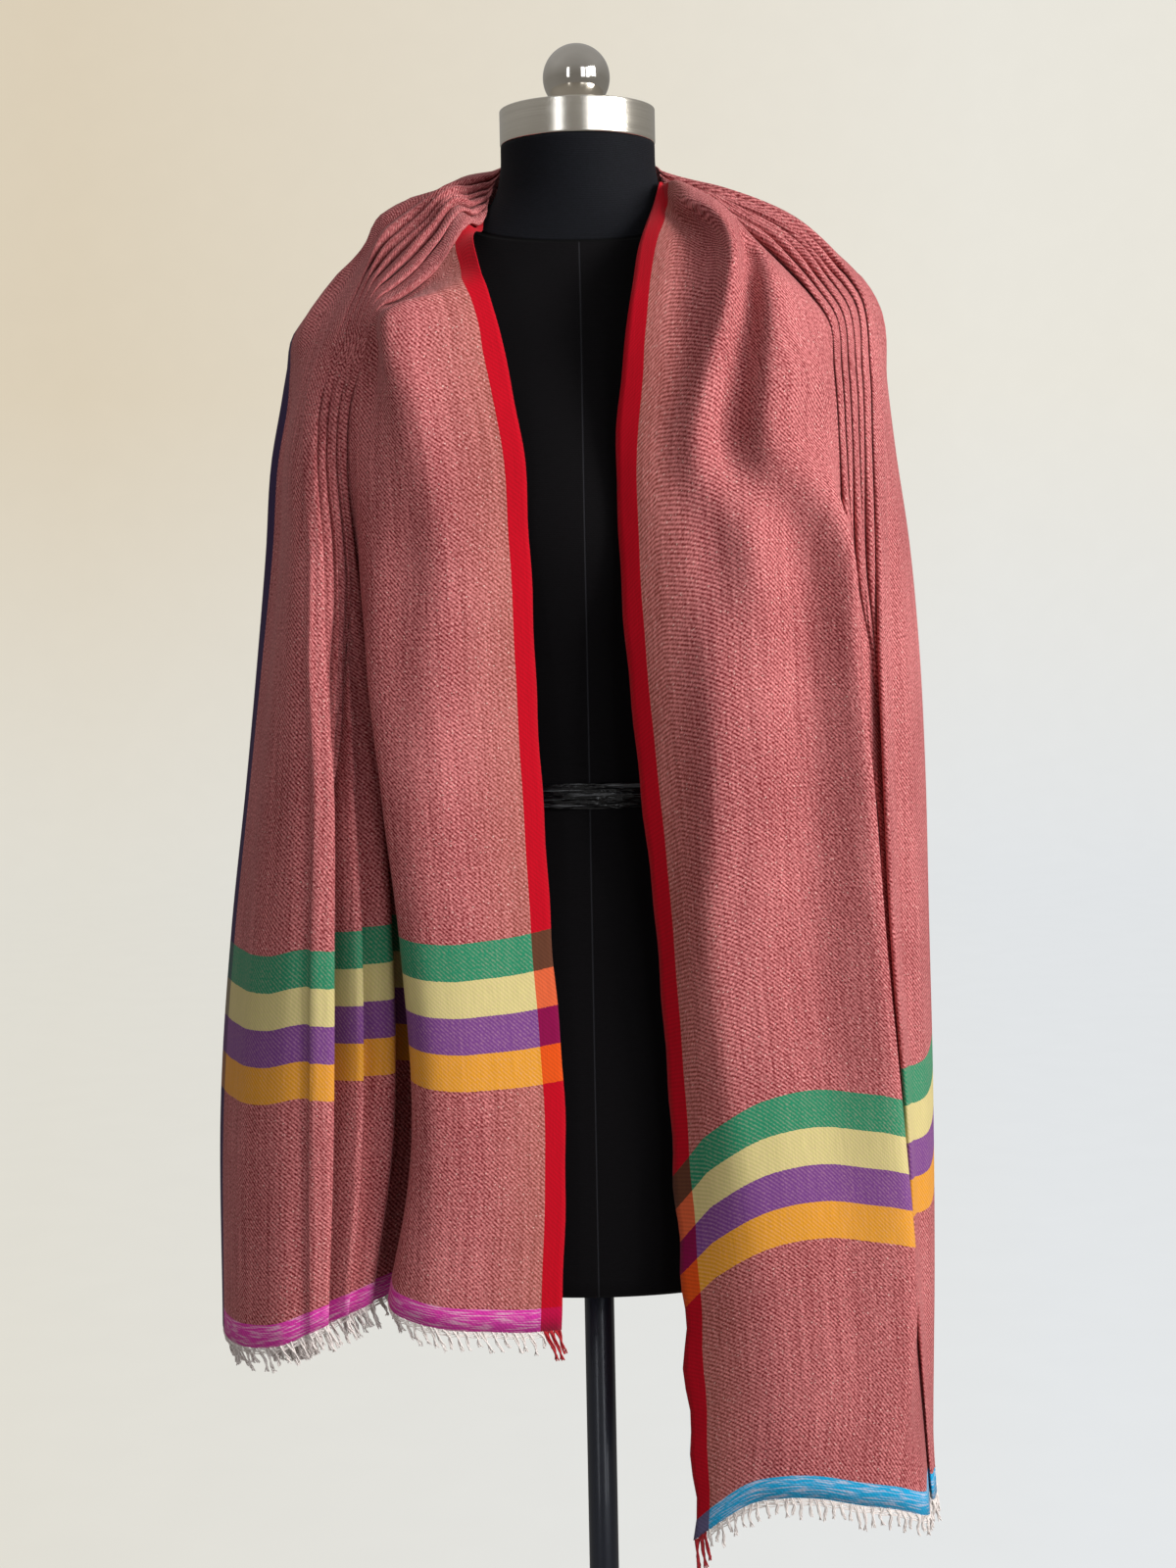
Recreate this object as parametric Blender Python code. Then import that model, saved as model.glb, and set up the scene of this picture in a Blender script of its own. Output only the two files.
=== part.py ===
"""A pashmina shawl hung over the shoulders of a limbless dress form on a round stand.

The shawl is one flat rectangle. Seen across, from its red edge to its navy edge, it runs as a front
panel, then as a stack of knife pleats, then as an outer panel that ends at the shoulder's back. Each
cross-section is worked out from the cloth's width: what the two panels don't use goes into pleats.

Metres, +Z up, the form faces -Y. The origin is the middle of the base's underside.
"""

import math

import bmesh
import bpy
import numpy as np

# ---- driving dimensions -------------------------------------------------------------------------
GAP = 0.0003                 # clear space between two pieces that touch
CLOTH_WIDTH = 1.00           # red edge to navy edge, flat
WALL = 0.0010                # cloth wall
PLEATS = 6                   # knife pleats in the stack
LAYERS = 2 * PLEATS          # steps from the innermost to the outermost layer of the stack
CLOTH_CLEAR = 0.0048         # cloth's middle to the form, so that flat facets stay clear of it

TORSO_BOTTOM = 0.620
NECK_TOP = 1.4690
NECK_R = 0.0575
# height, half width, front, back of the torso and its neck
FORM_PROFILE = (
    (TORSO_BOTTOM, 0.160, -0.104, 0.112),
    (0.700, 0.168, -0.110, 0.120),
    (0.800, 0.168, -0.110, 0.120),
    (0.900, 0.146, -0.103, 0.102),
    (0.990, 0.124, -0.096, 0.086),
    (1.080, 0.136, -0.106, 0.092),
    (1.190, 0.156, -0.131, 0.104),
    (1.270, 0.158, -0.118, 0.110),
    (1.325, 0.172, -0.092, 0.106),
    (1.356, 0.166, -0.076, 0.096),
    (1.382, 0.124, -0.068, 0.084),
    (1.408, 0.086, -0.062, 0.072),
    (1.428, 0.065, -0.059, 0.062),
    (1.448, 0.0585, -0.0578, 0.0578),
    (NECK_TOP, NECK_R, -NECK_R, NECK_R),
)

FORM_SIDES = 30

WAIST_HEIGHT = 0.990
BAND_HEIGHT = 0.019
CAP_R = 0.0580
CAP_HEIGHT = 0.0260
BALL_R = 0.0250
POLE_R = 0.0115
COLLAR_R = 0.0140
COLLAR_HEIGHT = 0.0080
BASE_R = 0.200
BASE_EDGE = 0.009
BOSS_R = 0.024
BOSS_TOP = 0.040

FRINGE_STRIP = 0.004         # height of the strip that the tufts are rooted in
FRINGE_DROP = 0.020          # strip's top to the tips of the tufts
TUFT_PITCH = 0.0160

# ---- small helpers --------------------------------------------------------------------------------


def clear_scene():
    for obj in list(bpy.data.objects):
        bpy.data.objects.remove(obj, do_unlink=True)


def material(name, colour, roughness, metallic=0.0):
    mat = bpy.data.materials.new(name)
    mat.use_nodes = True
    shader = mat.node_tree.nodes["Principled BSDF"]
    shader.inputs["Base Color"].default_value = (*colour, 1.0)
    shader.inputs["Roughness"].default_value = roughness
    shader.inputs["Metallic"].default_value = metallic
    return mat


def add_object(name, verts, faces, mat):
    mesh = bpy.data.meshes.new(name)
    mesh.from_pydata([tuple(map(float, v)) for v in verts], [], faces)
    mesh.materials.append(mat)
    work = bmesh.new()
    work.from_mesh(mesh)
    bmesh.ops.triangulate(work, faces=work.faces[:])
    bmesh.ops.recalc_face_normals(work, faces=work.faces[:])
    work.to_mesh(mesh)
    work.free()
    obj = bpy.data.objects.new(name, mesh)
    bpy.context.scene.collection.objects.link(obj)
    return obj


def through(marks, values, at):
    """A smooth curve through values at marks, read at each place in at."""
    marks = np.asarray(marks, float)
    values = np.asarray(values, float)
    at = np.clip(np.asarray(at, float), marks[0], marks[-1])
    slopes = np.gradient(values, marks, axis=0)
    cell = np.clip(np.searchsorted(marks, at) - 1, 0, len(marks) - 2)
    size = marks[cell + 1] - marks[cell]
    s = (at - marks[cell]) / size
    shape = s.shape + (1,) * (values.ndim - 1)
    s = s.reshape(shape)
    size = size.reshape(shape)
    return ((2 * s**3 - 3 * s**2 + 1) * values[cell]
            + (s**3 - 2 * s**2 + s) * size * slopes[cell]
            + (3 * s**2 - 2 * s**3) * values[cell + 1]
            + (s**3 - s**2) * size * slopes[cell + 1])


def smooth(value):
    value = np.clip(value, 0.0, 1.0)
    return value * value * (3 - 2 * value)


def unit(vector):
    return vector / np.maximum(np.linalg.norm(vector, axis=-1, keepdims=True), 1e-12)


# ---- the dress form -------------------------------------------------------------------------------


def form_size(height):
    """Half width, half depth and the middle's y of the form at each height."""
    rows = np.array(FORM_PROFILE)
    width, front, back = through(rows[:, 0], rows[:, 1:], height).T
    return width, (back - front) / 2, (back + front) / 2


def form_ring(height, count, grow=0.0):
    """One level outline of the form."""
    width, depth, middle = form_size(np.array([height]))
    angle = np.arange(count) * 2 * math.pi / count
    x = (width + grow) * np.cos(angle)
    y = middle + (depth + grow) * np.sin(angle)
    return np.stack([x, y, np.full(count, height)], axis=1)


def form_gap(points):
    """Roughly how far each point lies outside the form."""
    width, depth, middle = form_size(points[:, 2])
    x = points[:, 0] / width
    y = (points[:, 1] - middle) / depth
    radius = np.maximum(np.hypot(x, y), 1e-6)
    slope = np.hypot(x / width, y / depth) / radius
    return (radius - 1) / np.maximum(slope, 1e-6)


def form_normal(points):
    step = 0.0005
    parts = []
    for axis in np.eye(3) * step:
        parts.append(form_gap(points + axis) - form_gap(points - axis))
    return np.stack(parts, axis=1) / (2 * step)


def clear_of_form(points, gap, lay=0.0):
    """Push points out to gap from the form, and draw them down onto it by the share lay."""
    points = np.array(points, float)
    for _ in range(8):
        slope = form_normal(points)
        size = np.linalg.norm(slope, axis=1)
        miss = (gap - form_gap(points)) / np.maximum(size, 1e-6)
        miss = np.where(miss > 0, miss, miss * lay)
        points = points + unit(slope) * np.clip(miss, -0.02, 0.02)[:, None]
    return points


def loft(rings):
    """Vertices and faces of a closed solid through a stack of equal rings."""
    count = len(rings[0])
    verts = np.concatenate(rings)
    faces = []
    for row in range(len(rings) - 1):
        for i in range(count):
            a = row * count + i
            b = row * count + (i + 1) % count
            faces.append((a, b, b + count, a + count))
    faces.append(tuple(range(count - 1, -1, -1)))
    last = (len(rings) - 1) * count
    faces.append(tuple(last + i for i in range(count)))
    return verts, faces


def revolve(name, profile, mat, count):
    """A solid turned about the pole's axis from (radius, height) points, bottom to top."""
    angle = np.arange(count) * 2 * math.pi / count
    rings = []
    for radius, height in profile:
        ring = [radius * np.cos(angle), radius * np.sin(angle), np.full(count, height)]
        rings.append(np.stack(ring, axis=1))
    return add_object(name, *loft(rings), mat)


def torus_band(name, inner, outer, mat):
    """A closed band between two pairs of rings: (bottom ring, top ring) inside and outside."""
    rings = [inner[0], outer[0], outer[1], inner[1]]
    count = len(inner[0])
    faces = []
    for row in range(4):
        for i in range(count):
            a = row * count + i
            b = row * count + (i + 1) % count
            c = (row + 1) % 4 * count + (i + 1) % count
            d = (row + 1) % 4 * count + i
            faces.append((a, b, c, d))
    return add_object(name, np.concatenate(rings), faces, mat)


def build_torso():
    heights = [TORSO_BOTTOM, 0.68, 0.76, 0.85, 0.93, 0.976, 1.004, 1.05, 1.12, 1.19, 1.25, 1.295,
               1.325, 1.345, 1.360, 1.375, 1.390, 1.402, 1.413, 1.424, 1.436, 1.449, NECK_TOP - GAP]
    rings = [form_ring(height, FORM_SIDES) for height in heights]
    return add_object("form_torso", *loft(rings), material("black jersey", (0.006, 0.006, 0.009), 0.85))


def build_waist_band():
    low = WAIST_HEIGHT - BAND_HEIGHT / 2
    high = WAIST_HEIGHT + BAND_HEIGHT / 2
    inner = [form_ring(z, FORM_SIDES, 0.0012) for z in (low, high)]
    outer = [form_ring(z, FORM_SIDES, 0.0024) for z in (low, high)]
    return torus_band("form_waist_band", inner, outer, material("clear tape", (0.05, 0.05, 0.06), 0.1))


def build_cap():
    top = NECK_TOP + CAP_HEIGHT
    profile = [(CAP_R - 0.0015, NECK_TOP), (CAP_R, NECK_TOP + 0.0015), (CAP_R, top - 0.0040),
               (CAP_R - 0.0012, top - 0.0012), (CAP_R - 0.0040, top)]
    return revolve("form_neck_cap", profile, material("brushed steel", (0.62, 0.60, 0.56), 0.32, 1.0), 30)


def build_ball():
    bottom = NECK_TOP + CAP_HEIGHT + GAP
    flat = 0.35              # radians of the ball that rest on the cap
    middle = bottom + BALL_R * math.cos(flat)
    profile = []
    for step in range(9):
        angle = flat + (math.pi - flat) * step / 9
        profile.append((BALL_R * math.sin(angle), middle - BALL_R * math.cos(angle)))
    profile.append((0.0020, middle + BALL_R * 0.999))
    return revolve("form_cap_ball", profile, material("chrome", (0.75, 0.74, 0.72), 0.06, 1.0), 20)


def build_collar():
    angle = np.arange(16) * 2 * math.pi / 16
    rings = []
    for radius in (POLE_R + GAP * 2, COLLAR_R):
        for height in (TORSO_BOTTOM - GAP - COLLAR_HEIGHT, TORSO_BOTTOM - GAP):
            ring = [radius * np.cos(angle), radius * np.sin(angle), np.full(16, height)]
            rings.append(np.stack(ring, axis=1))
    mat = material("pole collar", (0.55, 0.56, 0.58), 0.15, 1.0)
    return torus_band("form_collar", rings[:2], rings[2:], mat)


def build_pole():
    profile = [(POLE_R, BOSS_TOP + GAP), (POLE_R, TORSO_BOTTOM - GAP)]
    return revolve("form_pole", profile, material("dark pole", (0.018, 0.021, 0.030), 0.35, 0.3), 16)


def build_base():
    profile = [(BASE_R, 0.0), (BASE_R, BASE_EDGE * 0.6), (BASE_R - 0.004, BASE_EDGE),
               (BOSS_R + 0.030, BASE_EDGE + 0.008), (BOSS_R + 0.004, BASE_EDGE + 0.014),
               (BOSS_R, BOSS_TOP - 0.003), (BOSS_R - 0.003, BOSS_TOP)]
    return revolve("form_base", profile, material("dark base", (0.018, 0.021, 0.030), 0.35, 0.3), 32)


# ---- where the shawl lies -------------------------------------------------------------------------
# Each station is one line across the cloth. Its rails are five points of the front panel, from the
# red edge, then three points under the stack, from where the front panel dives in to the navy edge.
# Lift is the way from the innermost to the outermost layer at each of the last three.


def fall(height, front, outer, lift, rolls, rise=(0.0,) * 8):
    """A station below the shoulder: plan points (x, y) of the front panel and the outermost layer.

    Rise is how far each rail's point lies above height, for a hem that isn't level.
    """
    lift = np.array([(*lift, 0.0)] * 3)
    front = np.array([(x, y, height) for x, y in front])
    outer = np.array([(x, y, height) for x, y in outer])
    rails = np.concatenate([front, outer - lift])
    rails[:, 2] += rise
    return {"rails": rails, "lift": lift, "stack": 0.0, "rolls": np.array(rolls), "lay": 0.0}


def shoulder(front, start, crest, navy, stack, rolls, lay=1.0):
    """A station over the shoulder, where the layers are stack thick in all and lie on the form."""
    under = clear_of_form([start, crest, navy], CLOTH_CLEAR, lay)
    under[0] = clear_of_form([start], CLOTH_CLEAR)[0]
    front = np.array(front)
    if len(front) == 1:
        front = front[0] + (under[0] - front[0]) * np.arange(5)[:, None] / 5
    front = clear_of_form(front, CLOTH_CLEAR)
    return {"rails": np.concatenate([front, under]), "lift": np.zeros((3, 3)), "stack": stack,
            "rolls": np.array(rolls), "lay": lay}


def lifted(stations):
    """Give the shoulder's stations a lift square to the cloth."""
    rails = np.array([station["rails"] for station in stations])
    along = np.gradient(rails, axis=0)
    over = np.gradient(rails[:, 5:], axis=1)
    square = unit(np.cross(along[:, 5:], over))
    for station, way in zip(stations, square):
        if station["stack"]:
            station["lift"] = way * station["stack"]
    return stations


# how far each pleat's visible fold lies beyond the first one
STEPPED = (0.000, 0.007, 0.014, 0.021, 0.028, 0.035)
GATHERED = (0.000, 0.004, 0.008, 0.012, 0.016, 0.020)
OPENING = (0.000, 0.005, 0.010, 0.014, 0.013, 0.006)
HANGING = (0.000, 0.003, 0.024, 0.028, 0.020, 0.000)

RIGHT_FALL = (
    fall(0.606, ((-0.026, -0.130), (-0.058, -0.137), (-0.087, -0.137), (-0.115, -0.134), (-0.142, -0.116)),
         ((-0.197, -0.148), (-0.262, -0.108), (-0.287, -0.008)), (-0.027, -0.070), HANGING,
         (0.000, 0.003, 0.005, 0.014, 0.018, 0.008, -0.009, -0.020)),
    fall(0.890, ((-0.030, -0.125), (-0.058, -0.136), (-0.084, -0.152), (-0.106, -0.161), (-0.125, -0.124)),
         ((-0.185, -0.154), (-0.248, -0.105), (-0.270, -0.008)), (-0.030, -0.084), HANGING),
    fall(1.100, ((-0.037, -0.137), (-0.066, -0.146), (-0.096, -0.154), (-0.126, -0.156), (-0.152, -0.134)),
         ((-0.185, -0.142), (-0.232, -0.086), (-0.246, -0.008)), (-0.027, -0.048), HANGING),
    fall(1.270, ((-0.047, -0.140), (-0.074, -0.146), (-0.102, -0.150), (-0.130, -0.148), (-0.154, -0.132)),
         ((-0.180, -0.128), (-0.216, -0.074), (-0.226, -0.004)), (-0.022, -0.024), OPENING),
)
RIGHT_SHOULDER = (
    shoulder(((-0.062, -0.132, 1.343), (-0.080, -0.134, 1.343), (-0.098, -0.134, 1.342),
              (-0.116, -0.129, 1.341), (-0.132, -0.116, 1.340)),
             (-0.145, -0.100, 1.339), (-0.176, -0.035, 1.341), (-0.191, 0.032, 1.326), 0.027, STEPPED, 0.0),
    shoulder(((-0.071, -0.106, 1.374),), (-0.112, -0.084, 1.370), (-0.150, -0.015, 1.372),
             (-0.188, 0.058, 1.338), 0.028, STEPPED, 0.4),
    shoulder(((-0.073, -0.074, 1.396),), (-0.080, -0.066, 1.394), (-0.122, 0.000, 1.390),
             (-0.162, 0.080, 1.345), 0.030, STEPPED),
    shoulder(((-0.064, -0.022, 1.428),), (-0.070, -0.018, 1.418), (-0.114, 0.022, 1.393),
             (-0.132, 0.098, 1.342), 0.030, GATHERED),
    shoulder(((-0.050, 0.040, 1.438),), (-0.054, 0.044, 1.426), (-0.080, 0.078, 1.390),
             (-0.074, 0.118, 1.336), 0.028, GATHERED),
)
BACK = (
    shoulder(((0.000, 0.062, 1.442),), (0.000, 0.070, 1.430), (0.000, 0.094, 1.388),
             (0.000, 0.122, 1.332), 0.028, GATHERED),
)
LEFT_SHOULDER = (
    shoulder(((0.050, 0.040, 1.438),), (0.054, 0.044, 1.426), (0.080, 0.078, 1.390),
             (0.074, 0.118, 1.336), 0.028, GATHERED),
    shoulder(((0.063, -0.026, 1.432),), (0.072, -0.022, 1.416), (0.116, 0.020, 1.392),
             (0.134, 0.098, 1.342), 0.030, GATHERED),
    shoulder(((0.053, -0.078, 1.404), (0.062, -0.084, 1.402), (0.076, -0.087, 1.401), (0.082, -0.078, 1.396),
              (0.090, -0.080, 1.396)), (0.098, -0.070, 1.388), (0.130, 0.000, 1.386),
             (0.166, 0.080, 1.345), 0.035, STEPPED),
    shoulder(((0.044, -0.110, 1.376), (0.066, -0.116, 1.380), (0.106, -0.108, 1.384), (0.112, -0.096, 1.378),
              (0.124, -0.102, 1.374)), (0.136, -0.082, 1.364), (0.162, -0.012, 1.366),
             (0.192, 0.060, 1.338), 0.035, STEPPED, 0.4),
    shoulder(((0.037, -0.130, 1.340), (0.066, -0.140, 1.342), (0.104, -0.140, 1.344), (0.117, -0.124, 1.342),
              (0.132, -0.134, 1.340)), (0.160, -0.098, 1.336), (0.184, -0.030, 1.343),
             (0.196, 0.038, 1.326), 0.029, STEPPED, 0.0),
)
LEFT_FALL = (
    fall(1.275, ((0.026, -0.140), (0.060, -0.148), (0.093, -0.158), (0.114, -0.144), (0.134, -0.155)),
         ((0.205, -0.078), (0.228, -0.024), (0.224, 0.046)), (0.037, 0.028), OPENING),
    fall(1.160, ((0.025, -0.142), (0.056, -0.150), (0.085, -0.158), (0.110, -0.158), (0.140, -0.156)),
         ((0.214, -0.074), (0.242, -0.020), (0.234, 0.050)), (0.042, 0.024), OPENING),
    fall(1.000, ((0.036, -0.130), (0.064, -0.144), (0.092, -0.156), (0.124, -0.160), (0.160, -0.150)),
         ((0.224, -0.066), (0.255, -0.012), (0.244, 0.058)), (0.044, 0.026), HANGING),
    fall(0.750, ((0.055, -0.130), (0.086, -0.146), (0.122, -0.154), (0.164, -0.152), (0.204, -0.130)),
         ((0.238, -0.054), (0.259, -0.002), (0.247, 0.068)), (0.044, 0.030), HANGING),
    fall(0.488, ((0.067, -0.130), (0.098, -0.146), (0.138, -0.154), (0.184, -0.152), (0.222, -0.128)),
         ((0.243, -0.050), (0.258, 0.002), (0.249, 0.072)), (0.044, 0.030), HANGING,
         (-0.033, -0.018, -0.008, -0.005, -0.014, -0.024, -0.054, -0.066)),
)
# marks of the lines that are modelled, a mark being a place in the list of stations; the seams lie a
# little below the corner of each shoulder
MARKS = (0, 1, 2, 3, 3.4, 3.7, 4, 4.3, 4.6, 5, 5.5, 6, 6.35, 6.7, 7, 7.35, 7.7, 8, 8.5, 9, 9.5, 10,
         10.5, 11, 11.5, 12, 12.5, 13, 13.4, 13.7, 14, 14.3, 14.6, 15, 16, 17, 18, 19)
SEAMS = (3.4, 14.6)
FRONT_CELLS = 8
OUTER_CELLS = 4
FOLD_ANGLES = (30, 150)      # where each fold's half circle has its points, degrees
STATIONS = lifted((*RIGHT_FALL, *RIGHT_SHOULDER, *BACK, *LEFT_SHOULDER, *LEFT_FALL))

# ---- one line across the cloth ----------------------------------------------------------------------


def base_line(rails, lay):
    """The innermost layer as a dense curve: points, length run, and length at each rail."""
    chord = np.concatenate([[0], np.cumsum(np.linalg.norm(np.diff(rails, axis=0), axis=1))])
    places = np.linspace(0, chord[-1], 160)
    curve = clear_of_form(through(chord, rails, places), CLOTH_CLEAR)
    laid = clear_of_form(curve, CLOTH_CLEAR, 1.0)
    hold = (lay * smooth((places - chord[5]) / 0.035))[:, None]
    curve = curve * (1 - hold) + laid * hold
    run = np.concatenate([[0], np.cumsum(np.linalg.norm(np.diff(curve, axis=0), axis=1))])
    return curve, run, np.interp(chord, places, run)


def read_curve(curve, run, at):
    """Points of a measured curve at lengths at."""
    return np.stack([np.interp(at, run, curve[:, k]) for k in range(3)], axis=1)


def stack_layout(rolls, depth, outer_end, bends):
    """The stack's points as (place, share) pairs, layer by layer, the same count for any line.

    A place is the length past the first roll, and a share is the way out, 0 to 1. Interior points of
    every layer lie at the same places, so that neighbouring layers keep their distance. Bends gives
    each fold's place, its radius, and how far the way out slants along the layer.
    """
    near = (rolls[2] + rolls[3]) / 2
    crest = max(rolls) + 0.006
    common = (crest, crest + (depth - crest) * 0.62)
    far = near + depth
    angle = np.radians(FOLD_ANGLES)
    points = []
    for layer in range(LAYERS + 1):
        roll = max((layer + 1) // 2 - 1, 0)
        back = min(layer // 2, PLEATS - 1)
        places = [near] * (roll < PLEATS // 2) + list(common) + [far] * (back >= PLEATS // 2)
        order = np.arange(len(places)) * 0.004
        places = np.maximum(places, rolls[roll] + 0.006 + order)
        places = np.minimum(places, rolls[back] + depth - 0.006 - order[::-1])
        if layer == LAYERS:
            places = np.append(places, np.linspace(rolls[-1] + depth + 0.004, outer_end, OUTER_CELLS))
        if layer % 2 == 1:
            places = places[::-1]
        points += [(place, layer) for place in places]
        if layer == LAYERS:
            break
        side = 1 if layer % 2 == 0 else -1
        fold, reach, slant = bends[layer]
        rise = (1 - np.cos(angle)) / 2
        at = fold - side * reach * (1 - np.sin(angle)) - slant * rise
        points += list(zip(at, layer + rise))
    return np.array(points) / (1, LAYERS)


def across(rails, lift, rolls, lay):
    """One line across the cloth, from the red edge through every layer to the navy edge.

    Gives its points and how each one lies along the base line.
    """
    base, run, rail_run = base_line(rails, lay)
    start = rail_run[5]
    outer_end = rail_run[7] - start
    spacing = np.linalg.norm(lift[0]) / LAYERS
    arcs = LAYERS * (math.pi / 2 - 1) * spacing
    depth = (CLOTH_WIDTH - start - outer_end - arcs) / LAYERS
    deepest = rolls[-1] + depth

    def way_out(at):
        settle = 1 - 0.86 * lay * smooth((at - deepest - 0.002) / (outer_end - deepest))
        return through(rail_run[5:] - start, lift, at) * settle[:, None]

    bends = []
    for roll in rolls:
        for fold in (roll + depth, roll):
            step = way_out(np.array([fold]))[0] / LAYERS
            here = read_curve(base, run, start + fold + np.array([-0.003, 0.003]))
            slant = step @ unit(here[1] - here[0])
            bends.append((fold, math.sqrt(max(step @ step - slant**2, 0)) / 2, slant))
    front = np.linspace(-start, 0, FRONT_CELLS + 1)
    layout = stack_layout(rolls, depth, outer_end, bends)
    place = np.concatenate([front, layout[:, 0]])
    share = np.concatenate([np.zeros(FRONT_CELLS + 1), layout[:, 1]])
    points = read_curve(base, run, start + place) + way_out(place) * share[:, None]
    return points, place


def cloth_lines(marks):
    """Lines across the cloth at each mark, a mark being a place in the list of stations."""
    rails = np.array([station["rails"] for station in STATIONS])
    steps = np.linalg.norm(np.diff(rails, axis=0), axis=2).mean(axis=1)
    length = np.concatenate([[0], np.cumsum(steps)])
    at = np.interp(marks, np.arange(len(length)), length)
    rails = through(length, rails, at)
    lift = through(length, [station["lift"] for station in STATIONS], at)
    rolls = through(length, [station["rolls"] for station in STATIONS], at)
    lay = np.interp(at, length, [station["lay"] for station in STATIONS])
    lines = [across(*row) for row in zip(rails, lift, rolls, lay)]
    return np.array([line[0] for line in lines]), np.array([line[1] for line in lines])


# ---- solids of cloth --------------------------------------------------------------------------------


def bisector(grid, axis):
    """The direction of each grid line at each point, halfway between its two cells."""
    cells = np.moveaxis(unit(np.diff(grid, axis=axis)), axis, 0)
    both = np.concatenate([cells[:1], unit(cells[1:] + cells[:-1]), cells[-1:]])
    return np.moveaxis(both, 0, axis), np.moveaxis(np.concatenate([cells, cells[-1:]]), 0, axis)


def thicken(grid, wall):
    """The two faces of a cloth wall whose middle is grid, mitred where it folds."""
    along, _ = bisector(grid, 0)
    over, cell = bisector(grid, 1)
    normal = unit(np.cross(along, over))
    mitre = 1 / np.maximum((over * cell).sum(axis=-1, keepdims=True), 0.6)
    return grid + normal * mitre * wall / 2, grid - normal * mitre * wall / 2


def wall_solid(name, front, back, forward, mat):
    """A closed solid between two equal grids of points.

    Forward tells, for each cell of a line, whether it runs away from the red edge, so that the
    diagonals of layers that lie on each other match.
    """
    rows, cols = front.shape[:2]
    size = rows * cols

    def index(side, i, j):
        return side * size + i * cols + j

    faces = []
    for i in range(rows - 1):
        for j in range(cols - 1):
            for side in (0, 1):
                a, b = index(side, i, j), index(side, i, j + 1)
                c, d = index(side, i + 1, j + 1), index(side, i + 1, j)
                faces += [(a, b, c), (a, c, d)] if forward[j] else [(a, b, d), (b, c, d)]
    rim = [(0, j) for j in range(cols)]
    rim += [(i, cols - 1) for i in range(1, rows)]
    rim += [(rows - 1, j) for j in range(cols - 2, -1, -1)]
    rim += [(i, 0) for i in range(rows - 2, 0, -1)]
    for here, after in zip(rim, rim[1:] + rim[:1]):
        faces.append((index(0, *here), index(0, *after), index(1, *after), index(1, *here)))
    verts = np.concatenate([front.reshape(-1, 3), back.reshape(-1, 3)])
    return add_object(name, verts, faces, mat)


def drawn_in(sheet, row, neighbour):
    """A line of the sheet, moved towards its neighbour by half the gap between two pieces."""
    return sheet[row] + unit(sheet[neighbour] - sheet[row]) * GAP / 2


def build_cloth(marks, seams):
    mat = material("rose twill", (0.36, 0.10, 0.09), 0.85)
    grid, place = cloth_lines(marks)
    forward = np.diff(place, axis=1).mean(axis=0) > 0
    faces = thicken(grid, WALL)
    first, second = (marks.index(seam) for seam in seams)
    spans = {"shawl_right_fall": (0, first), "shawl_back": (first, second),
             "shawl_left_fall": (second, len(marks) - 1)}
    for name, (low, high) in spans.items():
        sheets = []
        for face in faces:
            sheet = face[low:high + 1].copy()
            if low:
                sheet[0] = drawn_in(face, low, low + 1)
            if high < len(marks) - 1:
                sheet[-1] = drawn_in(face, high, high - 1)
            sheets.append(sheet)
        wall_solid(name, *sheets, forward, mat)
    return faces


def build_fringe(name, hem, mat):
    """Tufts hanging from a strip that runs just below the hem, given by its front and back edges."""
    edges = [[edge[0]] for edge in hem]
    for j in range(len(hem[0]) - 1):
        count = max(1, round(np.linalg.norm(hem[0][j + 1] - hem[0][j]) / TUFT_PITCH))
        for line, edge in zip(edges, hem):
            line += [edge[j] + (edge[j + 1] - edge[j]) * (k + 1) / count for k in range(count)]
    down = np.array([0, 0, -1.0])
    front, back = (np.array(line) + down * GAP for line in edges)
    count = len(front)
    verts = [*front, *back, *(front + down * FRINGE_STRIP), *(back + down * FRINGE_STRIP)]
    faces = []
    for i in range(count - 1):
        faces.append((i, i + 1, 2 * count + i + 1, 2 * count + i))
        faces.append((count + i, 3 * count + i, 3 * count + i + 1, count + i + 1))
        faces.append((i, count + i, count + i + 1, i + 1))
        corners = (2 * count + i, 2 * count + i + 1, 3 * count + i + 1, 3 * count + i)
        if np.linalg.norm(front[i + 1] - front[i]) < TUFT_PITCH / 2:
            faces.append(corners)
            continue
        root = sum(verts[corner] for corner in corners) / 4
        sway = 0.0006 * np.array([math.sin(2.1 * i), math.cos(1.3 * i), 0])
        tip = root + sway + down * (FRINGE_DROP - FRINGE_STRIP)
        first = len(verts)
        verts += [tip + (verts[corner] - root) * 0.30 for corner in corners]
        for k in range(4):
            faces.append((corners[k], corners[(k + 1) % 4], first + (k + 1) % 4, first + k))
        faces.append(tuple(first + k for k in range(4)))
    faces.append((0, 2 * count, 3 * count, count))
    faces.append((count - 1, 2 * count - 1, 4 * count - 1, 3 * count - 1))
    return add_object(name, verts, faces, mat)


def main():
    clear_scene()
    build_base()
    build_pole()
    build_collar()
    build_torso()
    build_waist_band()
    build_cap()
    build_ball()
    front, back = build_cloth(MARKS, SEAMS)
    thread = material("fringe thread", (0.55, 0.48, 0.44), 0.9)
    build_fringe("fringe_right", (front[0], back[0]), thread)
    build_fringe("fringe_left", (front[-1], back[-1]), thread)


main()
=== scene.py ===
"""A pashmina shawl over a limbless dress form: the finished look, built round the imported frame.

The shawl is one sheet. Across, from its red edge to its navy edge, it runs as a front panel, then as
a stack of knife pleats, then as an outer panel. Each line across is worked out from the cloth's width:
what the two panels don't use goes into the pleats. Metres, +Z up, the form faces -Y.
"""

import math

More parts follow.
